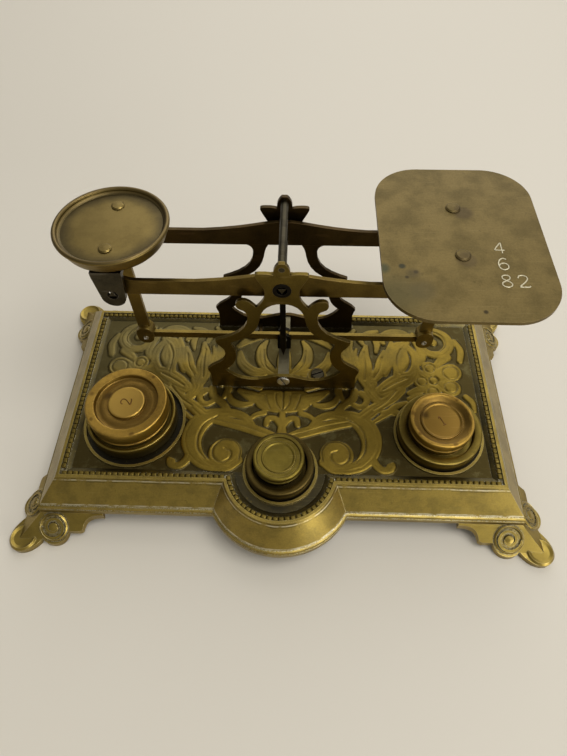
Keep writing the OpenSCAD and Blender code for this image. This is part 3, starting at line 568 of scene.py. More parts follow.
PLATE = MetalFinish(
    "plate_brass_tarnished", tone=srgb(112, 96, 58), patina=srgb(80, 69, 40),
    bare=srgb(154, 136, 98), roughness=0.52, cloud_size=10, speck=0.55, edge_wear=0.3, scratch=0.1,
    grain=0.07, recess_dirt=0.5,
    marks=(Mark((38.0, -9.0), 2.0, 14.0, srgb(72, 68, 46), 0.6, 2.0),
           Mark((34.4, 2.8), 0.8, 3.2, srgb(58, 64, 50), 0.75, 0.5),
           Mark((40.7, 3.9), 0.6, 1.7, srgb(50, 52, 42), 0.85, 0.3),
           Mark((45.1, 1.2), 0.3, 1.2, srgb(58, 50, 38), 0.8, 0.3),
           Mark((41.9, -1.2), 0.3, 1.1, srgb(54, 48, 36), 0.8, 0.3),
           Mark((44.0, 0.4), 0.6, 3.4, srgb(72, 64, 46), 0.6, 0.6),
           Mark((47.0, -7.0), 2.0, 6.0, srgb(80, 72, 50), 0.5, 1.2),
           Mark((65.4, -16.0), 0.3, 1.0, srgb(44, 38, 30), 0.8, 0.3),
           Mark((65.3, 31.7), 2.4, 4.6, srgb(72, 60, 42), 0.6, 0.6),
           Mark((63.0, 7.1), 2.4, 4.4, srgb(76, 64, 46), 0.5, 0.6)))
WEIGHT_BRIGHT = MetalFinish(
    "weight_brass_tan", tone=srgb(180, 144, 66), patina=srgb(130, 101, 44),
    bare=srgb(206, 168, 104), roughness=0.4, cloud_size=4, speck=0.85, edge_wear=0.45,
    # side is the painted shade of the weight's sides
    recess_dirt=0.9, grain=0.2, scratch=0.1, side=srgb(134, 110, 46))
WEIGHT_OLIVE = MetalFinish(
    "weight_brass_olive", tone=srgb(122, 106, 45), patina=srgb(84, 72, 30),
    bare=srgb(188, 166, 106), patina_share=0.5, cloud_size=5, speck=0.4, edge_wear=0.5)
WEIGHT_LOW = MetalFinish(
    "weight_brass_low", tone=srgb(124, 106, 48), patina=srgb(84, 70, 31), bare=srgb(190, 166, 104),
    patina_share=0.5, cloud_size=6, edge_wear=0.8, edge_reach=0.5, recess_reach=2.0,
    recess_dirt=0.75)
WEIGHT_BROWN = MetalFinish(
    "weight_brass_brown", tone=srgb(84, 70, 34), patina=srgb(58, 47, 24), bare=srgb(140, 116, 72),
    cloud_size=7, edge_wear=0.7, edge_reach=0.45, recess_reach=3.0, recess_dirt=0.9)
STAMPED = MetalFinish(
    "stamped_dark", tone=srgb(92, 62, 32), patina=srgb(56, 38, 22), bare=srgb(150, 108, 60),
    roughness=0.5, cloud_size=2, edge_wear=0.7)
ENGRAVED = MetalFinish(
    "engraved_pale", tone=srgb(178, 168, 136), patina=srgb(124, 112, 82), bare=srgb(208, 200, 172),
    roughness=0.5, patina_share=0.7, cloud_size=2, edge_wear=0.7)
STEEL_DARK = MetalFinish(
    "steel_oiled_dark", tone=srgb(68, 62, 46), patina=srgb(38, 34, 25), bare=srgb(140, 132, 120),
    roughness=0.36, patina_share=0.7, cloud_size=6)
STEEL_BLACK = MetalFinish(
    "steel_blackened", tone=srgb(34, 31, 27), patina=srgb(20, 18, 16), bare=srgb(84, 79, 71),
    patina_share=0.7, cloud_size=6, edge_wear=0.35)
STEEL_GREY = MetalFinish(
    "steel_grey_dull", tone=srgb(112, 105, 82), patina=srgb(84, 77, 56), bare=srgb(150, 143, 120),
    roughness=0.5, cloud_size=5)
STEEL_BRIGHT = MetalFinish(
    "steel_bright_worn", tone=srgb(206, 201, 188), patina=srgb(140, 132, 116),
    bare=srgb(236, 232, 222), roughness=0.42, patina_share=0.45, cloud_size=4, edge_wear=0.5)
SCREW_BRIGHT = replace(
    STEEL_BRIGHT, name="steel_bright_slotted", tone=srgb(226, 222, 210), recess_reach=0.7,
    recess_span=(0.05, 0.3), recess_dirt=1.0)

# Carried-over solids by their finish
CARRIED_OVER = (
    (TRAY, ("tray",)),
    (CAST, ("foot_front_left", "foot_front_right", "foot_back_left", "foot_back_right")),
    (FRET_FRONT, ("front_frame",)),
    (FRET_BACK, ("back_frame", "back_beam_arm")),
    (BEAM, ("front_beam_arm",)),
    (LINK, ("parallel_link", "left_stem", "right_stem")),
    (PAN, ("weight_pan", "weight_pan_rivets")),
    (PLATE, ("letter_plate", "letter_plate_rivets")),
    (STEEL_BLACK, ("pivot_bushes", "pointer", "link_fork")),
    (STEEL_DARK, ("floor_screws", "top_stay_rod", "centre_knife_edge", "left_knife_edges",
                  "right_knife_edges", "left_yoke", "right_yoke")),
    (STEEL_GREY, ("lower_stay_bar",)),
    (SCREW_BRIGHT, ("stay_screws",)),
    (STEEL_BRIGHT, ("fork_pin", "left_stem_pin", "right_stem_pin")))
# Tops of the upper weights from the rim inwards: share of the radius and drop
CHANNELS = {
    "left": ((0.82, 0.0), (0.8, 0.0), (0.78, 0.12), (0.75, 1.6), (0.71, 1.95), (0.64, 1.75),
             (0.52, 1.4), (0.49, 1.6), (0.465, 1.6), (0.45, 0.75), (0.435, 0.5), (0.41, 0.45),
             (0.39, 0.45), (0.0, 0.45)),
    "right": ((0.9, 0.02), (0.88, 0.16), (0.76, 1.25), (0.7, 1.5), (0.67, 1.5), (0.65, 1.0),
              (0.63, 0.9), (0.61, 0.92), (0.585, 1.2), (0.56, 1.25), (0.54, 1.25), (0.0, 1.25)),
    "centre": ((0.9, 0.0), (0.86, 0.1), (0.83, 0.75), (0.68, 0.85), (0.655, 0.5), (0.62, 0.42),
               (0.59, 0.5), (0.565, 0.7), (0.55, 0.72), (0.53, 0.72), (0.0, 0.72))}
# Darker channels in two upper weights: the rim's inner radius and the middle's, as shares
# of the weight's, and the middle's tone
STAINED_CHANNELS = {"left": (0.78, 0.45, srgb(192, 156, 76)),
                    "right": (0.88, 0.6, srgb(150, 118, 54))}
# Lower weights with their finish and the depth of their groove
LOWER_WEIGHTS = (("left", WEIGHT_LOW, 1.0), ("right", WEIGHT_LOW, 3.2),
                 ("centre", WEIGHT_BROWN, 3.0))
# Numbers on the upper weights with their height and turn, and those on the letter plate with
# their places
STAMPS = {"left": ("2", 4.4, 1.5), "right": ("1", 4.2, 0.45)}
PLATE_NUMBERS = {"4": (75.0, 13.5), "6": (75.0, 5.7), "8": (74.6, -2.3), "2": (80.0, -2.3)}
PLATE_DIGIT_H, PLATE_TURN = 5.4, -0.02
# How far a line's middle is above its face, and how high a line is for its width
NUMBER_LIFT, STAMP_PROUD, PLATE_PROUD = 0.01, 0.3, 0.12
# Strokes of the raised leaves on the floor, as x, y and half width, for its right half
LEAVES = (
    ((1, -22.5, 1), (8, -20.2, 1.9), (16, -17.4, 2.1), (24, -15.3, 1.9), (32, -13.6, 1.6)),
    ((13, -16.5, 1.2), (16.5, -12.6, 1.5), (22, -10.8, 1.8), (29, -11.6, 2.8), (35, -15.2, 4),
     (38, -21.6, 4.1), (37.4, -28, 3.5), (33.8, -33.6, 2.6), (28.4, -36.4, 1.8), (22, -36.6, 1.5),
     (17.6, -33.4, 1.5)),
    ((23, -30, 6.3), (23.6, -30.2, 6.3)),
    ((38.2, -27, 1.2), (38.6, -32.6, 1.3), (41.6, -36.2, 1.2), (45.2, -36, 1), (46.4, -33.6, 0.6)),
    ((45.2, -34.9, 1.3), (45.8, -34.5, 1.2)),
    ((34, -12.5, 2.4), (39, -8.2, 2.3), (44, -4.4, 2), (49, -0.5, 2.2), (52, 3.5, 2.6)),
    ((40, -13.5, 0.5), (45.5, -9.4, 1), (50, -5.6, 1.1), (54.5, -3.6, 0.6)),
    ((24, -9.5, 1.2), (27, -5.5, 1.4), (31, -2, 1.5), (32, 2, 1.3)),
    ((44, -4.5, 1.4), (40.5, -1.2, 1.8), (38.5, 2.8, 2), (40.5, 6.2, 1.6)),
    ((31, -5, 0.8), (34, -6.4, 1), (36.6, -4.6, 1), (37, -1.6, 1.1), (34.8, 0.8, 1.2)),
    ((39, 4, 2.2), (36.8, 9.5, 2.8), (37.4, 15.5, 3), (37.2, 21.5, 2.2), (38.4, 27.5, 0.7)),
    ((36, 10, 1.6), (33.6, 15, 1.6), (32.6, 20.5, 1.1), (33.6, 25.5, 0.5)),
    ((40, 8, 1.8), (43.5, 12.8, 2.2), (45, 18.6, 1.9), (46.6, 24.6, 0.6)),
    ((44, 2, 2.6), (49, 5.5, 3.6), (54, 8.5, 3.6), (58.5, 11, 2.4), (61, 14.5, 1.4)),
    ((52, 9, 2), (52.6, 14, 2), (52, 20, 2.2), (54, 26, 2.4), (57.5, 30, 1.6)),
    ((58, 11, 1.8), (60.5, 16, 1.6), (60.8, 22, 1.5), (58.2, 27, 1.3), (53.6, 28.6, 1.6),
     (51, 25, 1.6)),
    ((46, 12, 1.4), (48.5, 18, 1.7), (49, 24, 1.5), (50.5, 30, 0.7)),
    ((68, 8.6, 2.4), (68.1, 8.7, 2.4)),
    ((70.6, 10, 2.4), (73.6, 12, 4), (76.6, 13.4, 4.4)),
    ((70, 7.4, 2.2), (73, 5.9, 3.5), (75.8, 4.8, 3.7)),
    ((67.8, 6.8, 2), (67.2, 4.2, 3), (66.8, 1.8, 3.1)),
    ((66.4, 8.6, 2), (64.2, 8.4, 2.9), (62.2, 7.8, 2.9)),
    ((67.8, 10.6, 2), (67.4, 13.2, 2.9), (66.8, 15.8, 3)),
    ((62, 13, 1.2), (65.4, 9.8, 1.4), (68.6, 7.6, 1.4)),
    ((64.6, 36.2, 1.5), (70.6, 37.6, 1.7), (76.4, 34.2, 2), (77.6, 28.4, 2), (73.6, 23.6, 1.9),
     (67.6, 24, 1.6), (64.8, 28.2, 1.4), (67.6, 31.6, 1.5), (70.4, 30.6, 1.6)),
    ((76, 22, 1.6), (72.6, 19.6, 1.6), (70, 17, 1)),
    ((81.6, 20, 1), (82.6, 26, 1.3), (80.6, 31.6, 0.8)),
    ((60, 34, 0.8), (55.4, 36.4, 1.4), (49.6, 36, 1.5), (45.6, 32.6, 1.2), (46.8, 29.4, 0.8)),
    ((44, 36.6, 0.8), (39.6, 35.2, 1.3), (36, 31.6, 1.2), (37, 28.6, 0.7)),
    ((84, -7, 0.6), (83.6, -2.6, 1.1), (81.4, 0.2, 1)),
    ((56.5, 1.5, 0.8), (61.6, 3.6, 1.3), (66.6, 3, 0.8)),
    ((2.8, -4.2, 5.4), (7.2, -3.6, 5)),
    ((9.6, -3.4, 2.8), (14.6, -1.6, 2.3), (19.6, 1.2, 0.8)),
    ((0, -8, 1.2), (0, -14, 1.1), (0, -21.4, 1.9)),
    ((0.6, -16.5, 0.9), (3, -13.2, 1), (6, -13.2, 1.1), (6.8, -16, 0.9)),
    ((14, -5.8, 0.6), (18.6, -6.2, 1.3), (22.6, -4.4, 1.2), (24.6, -0.6, 0.6)),
    ((8, -10.2, 1), (11.6, -11.4, 0.8), (14, -13.6, 0.6)),
    ((0, 9, 2.2), (0, 15, 3), (0, 21, 2.6), (0, 28, 0.6)),
    ((2, 9, 1.6), (7, 13, 2.4), (10.4, 18.4, 2.4), (10.8, 24.6, 1.8), (8.6, 29.6, 0.6)),
    ((9, 11, 1.4), (15, 12, 2.2), (19.6, 16.6, 2), (21, 22.6, 0.8)),
    ((22, 26, 0.8), (18, 29.6, 1.8), (12.6, 32.4, 1.9), (6.6, 34, 1.8), (0, 34.2, 1.8)),
    ((25, 8, 0.6), (27.6, 13.5, 1.5), (28.4, 20, 1.6), (26.4, 26, 0.7)),
    ((24, 33, 0.8), (29.6, 33.4, 1.6), (33, 37, 0.8)),
    ((30, 14, 0.6), (31.2, 19, 1.5), (30.2, 25, 1.5), (31.6, 30, 0.6)),
    ((43, 24, 0.6), (43.6, 28.6, 1.2), (42, 32.6, 0.6)),
    ((55, 14.6, 0.8), (56.4, 19.6, 1.5), (56, 24.4, 1.2)),
    ((62.6, 18, 0.8), (64.4, 21.4, 1.3), (63.6, 26.4, 1.5), (61.8, 31.6, 1.3), (61, 35.6, 0.6)),
    ((28, 4, 0.8), (31.4, 8.4, 1.5), (32, 13, 1.2)),
    ((43.6, -9, 0.6), (48.4, -8.4, 1.3), (52.6, -10.6, 0.7)),
    ((56, -1.6, 0.6), (60.4, 0.2, 1.2), (64.6, -0.6, 0.6)),
    ((10.6, 2.6, 1), (15.2, 4.8, 1.5), (20.4, 6.2, 0.8)),
    ((26.4, -2.6, 0.6), (24.6, 2, 1.3), (27, 6, 0.8)))
# Veins cut into the leaves, written the same way
VEINS = (
    ((2, -22, 0.3), (9, -19.9, 0.3), (17, -17, 0.3), (25, -15, 0.25), (31, -13.8, 0.2)),
    ((28, -12.4, 0.25), (33.4, -16.4, 0.35), (35.6, -22, 0.4), (35, -28.4, 0.35),
     (31.6, -33, 0.25)),
    ((17.4, -32.8, 0.3), (17.2, -28, 0.35), (20.2, -24.4, 0.4), (25, -24.2, 0.4),
     (28.4, -27.6, 0.4), (28.2, -32, 0.4), (24.8, -34.4, 0.4), (21.4, -32.6, 0.4),
     (21.2, -29.4, 0.35), (23.8, -28.2, 0.3)),
    ((36.9, 8, 0.3), (37.4, 15.5, 0.3), (37.4, 24, 0.2)),
    ((41, 9, 0.25), (44, 14, 0.25), (45.6, 21, 0.2)),
    ((45, 3, 0.3), (50, 6.4, 0.35), (56, 9.6, 0.3)),
    ((52.8, 12, 0.25), (52.4, 20, 0.3), (54.6, 26, 0.25)),
    ((0, -9.4, 0.3), (0, -4, 0.35), (0, 1.8, 0.3)),
    ((0.5, -9, 0.25), (2.8, -5.4, 0.3), (3.4, -0.6, 0.25)),
    ((5.4, -8.4, 0.2), (6.8, -5, 0.25), (7.8, -0.8, 0.2)),
    ((0, 11, 0.25), (0, 18, 0.3), (0, 26, 0.2)),
    ((4, 10.5, 0.25), (8.6, 15, 0.3), (9.8, 24, 0.2)),
    ((40, -7.6, 0.25), (46, -3, 0.3), (50.6, 2.6, 0.3)),
    ((66.4, 36.2, 0.25), (71.4, 36.6, 0.3), (75.4, 33.2, 0.3), (76, 28.6, 0.3), (73, 25.2, 0.25)))
# Rings cut round the blossom's eyes, as x, y, radius and half width
EYE_RINGS = ((68.0, 8.6, 2.1, 0.4), (76.4, 13.0, 3.6, 0.28), (75.4, 5.0, 2.9, 0.26),
             (66.9, 2.2, 2.4, 0.24), (62.6, 7.9, 2.2, 0.24), (67.0, 15.4, 2.3, 0.24))
# Lines of each digit, one high, with its middle at the origin
DIGITS = {
    "1": (((-0.16, 0.32), (0.02, 0.5), (0.02, 0.0), (0.02, -0.5)),
          ((-0.16, -0.5), (0.0, -0.5), (0.2, -0.5))),
    "2": (((-0.28, 0.24), (-0.2, 0.44), (0.02, 0.5), (0.24, 0.4), (0.27, 0.18), (0.1, -0.08),
           (-0.3, -0.47)), ((-0.3, -0.48), (0.0, -0.48), (0.32, -0.46), (0.34, -0.36))),
    "4": (((0.14, -0.5), (0.14, 0.0), (0.14, 0.5)), ((0.14, 0.5), (-0.1, 0.16), (-0.34, -0.2)),
          ((-0.34, -0.2), (0.0, -0.2), (0.34, -0.2))),
    "6": (((0.24, 0.4), (0.02, 0.5), (-0.22, 0.28), (-0.3, -0.1), (-0.2, -0.42), (0.04, -0.5),
           (0.27, -0.34), (0.27, -0.08), (0.05, 0.07), (-0.18, -0.02), (-0.29, -0.2)),),
    "8": (((0.0, 0.04), (-0.22, 0.2), (-0.2, 0.42), (0.0, 0.5), (0.2, 0.42), (0.22, 0.2),
           (0.0, 0.04), (-0.27, -0.16), (-0.25, -0.4), (0.0, -0.5), (0.25, -0.4),
           (0.27, -0.16), (0.0, 0.04)),)}


@dataclass(frozen=True)
class Disc:
    """Place and size of a round solid that stands upright."""

    x: float
    y: float
    radius: float
    base: float
    top: float


def packed_disc(node: str) -> Disc:
    """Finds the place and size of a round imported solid.

    Args:
        node: The solid's name.

    Returns:
        Its disc, from its box.
    """
    low, high = [[value / MM for value in corner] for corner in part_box(node)]
    return Disc((low[0] + high[0]) / 2, (low[1] + high[1]) / 2, (high[0] - low[0]) / 2, low[2],
                high[2])


def channel_stained(side: str, rim: float, middle: float, tone: Colour) -> MetalFinish:
    """The bright weight finish with a darker channel between its rim and its middle, and
    small stains.

    Args:
        side: Which upper weight.
        rim: Inner radius of its rim, as a share of its radius.
        middle: Radius of its raised middle, as a share of its radius.
        tone: Tone of that middle.

    Returns:
        The finish.
    """
    solid = packed_disc(f"{side}_upper_weight")
    place, radius = (solid.x, solid.y), solid.radius
    marks = [Mark(place, rim * radius - 0.7, rim * radius + 0.1, srgb(92, 70, 34), 0.7, 0.9),
             Mark(place, middle * radius - 0.1, middle * radius + 0.2, tone, 0.8, 0.0)]
    brown, light = srgb(60, 44, 26), srgb(82, 56, 30)
    for x, y, full, none, stain, share, ragged in (
            (-0.5, 0.2, 0.6, 2.6, brown, 0.7, 0.8), (-0.88, 0.2, 0.3, 1.6, light, 0.6, 0.7),
            (-0.74, -0.52, 0.3, 1.1, light, 0.6, 0.7), (0.3, -0.9, 0.3, 1.3, light, 0.6, 0.7),
            (0.55, 0.74, 0.3, 1.2, light, 0.6, 0.7)):
        spot = (solid.x + x * radius, solid.y + y * radius)
        marks.append(Mark(spot, full, none, stain, share, ragged))
    return replace(WEIGHT_BRIGHT, name=f"weight_brass_{side}", marks=tuple(marks))


class Dresser:
    """Gives finishes to pieces and to the carried-over solids, each finish made once."""

    def __init__(self) -> None:
        """Starts with no finish made."""
        self.made: dict[str, bpy.types.Material] = {}

    def dress(self, obj: bpy.types.Object, finish: MetalFinish) -> None:
        """Puts one finish on an object.

        Args:
            obj: A piece or a carried-over solid.
            finish: Its finish.
        """
        if finish.name not in self.made:
            self.made[finish.name] = finish.build()
        obj.data.materials.clear()
        obj.data.materials.append(self.made[finish.name])
        LOG.info("%s: %s", obj.name, finish.name)

    def dress_nodes(self, finish: MetalFinish, *nodes: str) -> None:
        """Puts one finish on several carried-over solids, by their names."""
        for node in nodes:
            self.dress(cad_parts[node], finish)

    def join(self, piece: bpy.types.Object, finish: MetalFinish, body: str) -> None:
        """Finishes a new piece and lets it ride on a body.

        Args:
            piece: The piece.
            finish: Its finish.
            body: The body that carries it.
        """
        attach(piece, body)
        self.dress(piece, finish)


def new_piece(name: str, corners: Sequence, faces: Sequence) -> bpy.types.Object:
    """Makes a smooth mesh object.

    Args:
        name: Its name.
        corners: Corner points.
        faces: Faces as lists of corner numbers.

    Returns:
        The new object, in the scene.
    """
    mesh = bpy.data.meshes.new(name)
    mesh.from_pydata([(x * MM, y * MM, z * MM) for x, y, z in corners], [], faces)
    mesh.polygons.foreach_set("use_smooth", [True] * len(mesh.polygons))
    mesh.update()
    piece = bpy.data.objects.new(name, mesh)
    bpy.context.scene.collection.objects.link(piece)
    return piece


def skin(first: int, rings: int, around: int, closed: bool = True) -> list[tuple[int, ...]]:
    """Faces through rings of corners that follow one another.

    Args:
        first: Number of the first ring's first corner.
        rings: Number of rings.
        around: Corners of each ring.
        closed: Whether a face closes the first ring and another the last one.

    Returns:
        The faces.
    """
    faces = []
    for start in range(first, first + (rings - 1) * around, around):
        for k in range(around):
            a, b = start + k, start + (k + 1) % around
            faces.append((a, b, b + around, a + around))
    if closed:
        last = first + (rings - 1) * around
        faces.append(tuple(range(first + around - 1, first - 1, -1)))
        faces.append(tuple(range(last, last + around)))
    return faces


def turned(name: str, x: float, y: float, profile: Sequence[Point]) -> bpy.types.Object:
    """Turns a profile about an upright axis.

    Args:
        name: The piece's name.
        x: Place of the axis along x.
        y: Place of the axis along y.
        profile: Radius and height of each point, from one end of the axis to the other.

    Returns:
        The new object, with its sharp edges kept sharp.
    """
    around, sharp = 96, math.radians(40)
    corners = [(x, y, profile[0][1]), (x, y, profile[-1][1])]
    for radius, z in profile[1:-1]:
        for k in range(around):
            angle = 2 * math.pi * k / around
            corners.append((x + radius * math.cos(angle), y + radius * math.sin(angle), z))
    faces = skin(2, len(profile) - 2, around, closed=False)
    last = len(corners) - around
    for k in range(around):
        after = (k + 1) % around
        faces += [(0, 2 + after, 2 + k), (last + k, last + after, 1)]
    piece = new_piece(name, corners, faces)
    piece.data.set_sharp_from_angle(angle=sharp)
    return piece


def rounded(points: Stroke, steps: int = 8) -> np.ndarray:
    """Smooth curve through points.

    Args:
        points: Points with any number of coordinates.
        steps: Pieces between two points.

    Returns:
        The curve's points, one row each.
    """
    given = np.array(points, float)
    given = np.vstack([2 * given[0] - given[1], given, 2 * given[-1] - given[-2]])
    share = (np.arange(steps) / steps)[:, None]
    curve = []
    for a, b, c, d in zip(given, given[1:], given[2:], given[3:]):
        curve.append(0.5 * (2 * b + (c - a) * share + (2 * a - 5 * b + 4 * c - d) * share ** 2
                            + (3 * b - a - 3 * c + d) * share ** 3))
    curve.append(given[-2:-1])
    return np.vstack(curve)


def eased(values: np.ndarray, low: float, high: float) -> np.ndarray:
    """Smooth rise of an array.

    Args:
        values: The array.
        low: Value at which the rise leaves 0.
        high: Value at which it reaches 1.

    Returns:
        Shares between 0 and 1.
    """
    share = np.clip((values - low) / (high - low), 0, 1)
    return share * share * (3 - 2 * share)


class Part(ABC):
    """A piece made here, with its finish, the body that it rides on and its slot."""

    finish: MetalFinish
    body: str
    slot: Slot

    @abstractmethod
    def build(self) -> bpy.types.Object:
        """Makes the piece."""

    def add(self, dresser: Dresser) -> None:
        """Builds the piece and dresses it."""
        dresser.join(self.build(), self.finish, self.body)


@dataclass
class FloorRelief(Part):
    """The low leaf scrolls on the tray's sunk floor, as one thin skin on it."""

    finish: MetalFinish = RELIEF
    body: str = "base"
    slot: Slot = Slot.CAST
    step: float = 0.36
    half_x: float = 86.2
    half_y: float = 39.6
    leaf_h: float = 0.52
    crown_h: float = 0.1
    vein_d: float = 0.3
    lift: float = 0.02
    spread: float = 0.75
    well_lap: float = 0.55
    # Groove just inside each leaf's outline: how far in, its width and its depth
    groove: Place = (1.3, 0.25, 0.1)

    def depth(self, x: np.ndarray, y: np.ndarray, stroke: Stroke) -> np.ndarray:
        """How far inside a tapering stroke each point is.

        Args:
            x: Points' x.
            y: Points' y.
            stroke: The stroke's points.

        Returns:
            Depth inside it, negative outside.
        """
        line, far, margin = rounded(stroke), -1e3, 1.5
        best = np.full(x.shape, far)
        reach = line[:, 2].max() + margin
        near = ((x > line[:, 0].min() - reach) & (x < line[:, 0].max() + reach)
                & (y > line[:, 1].min() - reach) & (y < line[:, 1].max() + reach))
        px, py = x[near], y[near]
        inside = best[near]
        for a, b in zip(line, line[1:]):
            run = b[:2] - a[:2]
            share = ((px - a[0]) * run[0] + (py - a[1]) * run[1]) / max(run @ run, 1e-9)
            share = np.clip(share, 0, 1)
            away = np.hypot(px - a[0] - share * run[0], py - a[1] - share * run[1])
            inside = np.maximum(inside, a[2] + share * (b[2] - a[2]) - away)
        best[near] = inside
        return best

    def heights(self, x: np.ndarray, y: np.ndarray) -> np.ndarray:
        """Height of the relief above the floor.

        Args:
            x: Points' x.
            y: Points' y.

        Returns:
            Their heights.
        """
        x = abs(x)
        leaf, vein = [np.max([self.depth(x, y, stroke) for stroke in strokes], axis=0)
                      for strokes in (LEAVES, VEINS)]
        for cx, cy, radius, half in EYE_RINGS:
            vein = np.maximum(vein, half - abs(np.hypot(x - cx, y - cy) - radius))
        place, width, depth = self.groove
        groove = depth * np.exp(-((leaf - place) / width) ** 2)
        leaf = leaf + self.spread * eased(leaf, -1.5, -0.2)
        return (eased(leaf, -0.3, 0.6) * self.leaf_h + self.crown_h * eased(leaf, 0.4, 2.4)
                - groove - self.vein_d * eased(vein, -0.25, 0.25) * (leaf > 0.2))

    def build(self) -> bpy.types.Object:
        """Makes the skin, open where the wells are.

        Returns:
            The piece.
        """
        xs = np.arange(-self.half_x, self.half_x + 0.01, self.step)
        ys = np.arange(-self.half_y, self.half_y + 0.01, self.step) + TRAY_Y
        x, y = np.meshgrid(xs, ys)
        z = FLOOR_Z + self.lift + self.heights(x, y)
        number = np.arange(x.size).reshape(x.shape)
        quads = np.stack([number[:-1, :-1], number[:-1, 1:], number[1:, 1:], number[1:, :-1]], -1)
        mid_x, mid_y = x[:-1, :-1] + self.step / 2, y[:-1, :-1] + self.step / 2
        kept = np.ones(mid_x.shape, bool)
        for cx, cy, radius in WELLS:
            kept &= np.hypot(mid_x - cx, mid_y - cy) > radius - self.well_lap
        faces = quads[kept]
        used = np.unique(faces)
        place = np.zeros(x.size, int)
        place[used] = np.arange(used.size)
        corners = np.stack([x, y, z], -1).reshape(-1, 3)[used]
        return new_piece("floor_relief", corners.tolist(), place[faces].tolist())


@dataclass
class BeadBorder(Part):
    """The row of beads inside the rim, each one rounded, on its thin strip.

    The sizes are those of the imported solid.
    """

    finish: MetalFinish = BEADS
    body: str = "base"
    slot: Slot = Slot.CAST
    half_x: float = 89.8
    half_y: float = 43.2
    bead_w: float = 1.9
    pitch: float = 2.3
    bead_h: float = 0.88
    strip_h: float = 0.3
    seat_z: float = 24.9
    arc_r: float = 21.35
    join_x: float = 21.685
    arc_half: float = math.acos(3.3 / 20.4)

    # Corners of each ring of a bead, rings above its strip, and how square the rings are
    AROUND, RINGS, BOXY = 12, 4, 0.35

    def spaced(self, length: float) -> list[float]:
        """Beads' distances from the middle of a row."""
        count = int(length / self.pitch)
        return [(i - (count - 1) / 2) * self.pitch for i in range(count)]

    def places(self) -> list[Place]:
        """Every bead's place and the direction of its row.

        Returns:
            x, y and angle in radians of each bead.
        """
        edge_x, edge_y = self.half_x - self.bead_w / 2, self.half_y - self.bead_w / 2
        side, front = 2 * (self.half_y - self.bead_w), self.half_x - self.join_x
        front_x, upright = (self.half_x + self.join_x) / 2, math.pi / 2
        rows = ((0.0, edge_y, 2 * self.half_x, 0.0), (edge_x, 0.0, side, upright),
                (-edge_x, 0.0, side, upright), (-front_x, -edge_y, front, 0.0),
                (front_x, -edge_y, front, 0.0))
        found = [(x + way * math.cos(turn), y + way * math.sin(turn), turn)
                 for x, y, length, turn in rows for way in self.spaced(length)]
        for way in self.spaced(2 * self.arc_half * self.arc_r):
            turn = way / self.arc_r
            found.append((self.arc_r * math.sin(turn), BULGE_Y - self.arc_r * math.cos(turn),
                          turn))
        return found

    def bead(self) -> list[Place]:
        """Corners of one bead and its length of strip, ring by ring.

        Returns:
            The corners, round the middle of its foot, with its row along x.
        """
        half_l, half_w = 0.5 * self.pitch, 0.5 * self.bead_w
        rings = [(half_l, half_w, 0.0), (half_l, half_w, self.strip_h)]
        for ring in range(self.RINGS):
            up = math.radians(90 * (ring + 0.5) / (self.RINGS + 0.2))
            round_off = math.cos(up) ** 0.6
            rings.append((0.47 * self.pitch * round_off, half_w * round_off,
                          self.strip_h + (self.bead_h - self.strip_h) * math.sin(up) ** 0.7))
        corners = []
        for along, across, z in rings:
            for k in range(self.AROUND):
                angle = 2 * math.pi * (k + 0.5) / self.AROUND
                c, s = math.cos(angle), math.sin(angle)
                corners.append((along * math.copysign(abs(c) ** self.BOXY, c),
                                across * math.copysign(abs(s) ** self.BOXY, s), z))
        return corners

    def build(self) -> bpy.types.Object:
        """Makes the beads, each with its own short length of strip.

        Returns:
            The piece.
        """
        bead = self.bead()
        corners, faces = [], []
        for x, y, turn in self.places():
            faces += skin(len(corners), len(bead) // self.AROUND, self.AROUND)
            c, s = math.cos(turn), math.sin(turn)
            corners += [(x + u * c - v * s, TRAY_Y + y + u * s + v * c, self.seat_z + z)
                        for u, v, z in bead]
        piece = new_piece("rounded_bead_border", corners, faces)
        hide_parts("bead_border")
        return piece


@dataclass
class LowerWeight(Part):
    """A flat round weight with a deep groove inside its rim, round the one that stands on it.

    Its place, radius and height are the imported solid's.
    """

    side: str
    finish: MetalFinish
    groove: float
    recess: float = 0.8
    foot: float = 1.7
    slot: Slot = Slot.WORN

    @property
    def body(self) -> str:
        """Body that carries the weight."""
        return f"{self.side}_lower"

    def build(self) -> bpy.types.Object:
        """Turns the weight.

        Returns:
            The piece, which stands for the solid.
        """
        node = f"{self.side}_lower_weight"
        solid, upper = packed_disc(node), packed_disc(f"{self.side}_upper_weight").radius
        radius, base, top = solid.radius, solid.base, solid.top
        inner = upper + min(0.9, 0.22 * (radius - upper))
        seat, deep, foot = top - self.recess - 0.02, top - self.groove, upper - self.foot
        profile = [(0.0, base), (radius - 0.9, base), (radius - 0.3, base + 0.2),
                   (radius, base + 0.8), (radius, top - 0.6), (radius - 0.12, top - 0.2),
                   (radius - 0.4, top - 0.02), (radius - 0.7, top), (inner + 0.3, top - 0.05),
                   (inner + 0.1, top - 0.15), (inner, top - 0.4), (inner, deep + 0.4),
                   (inner - 0.4, deep), (foot, deep), (foot, seat), (0.0, seat)]
        piece = turned(f"{self.side}_grooved_weight", solid.x, solid.y, profile)
        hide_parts(node)
        return piece


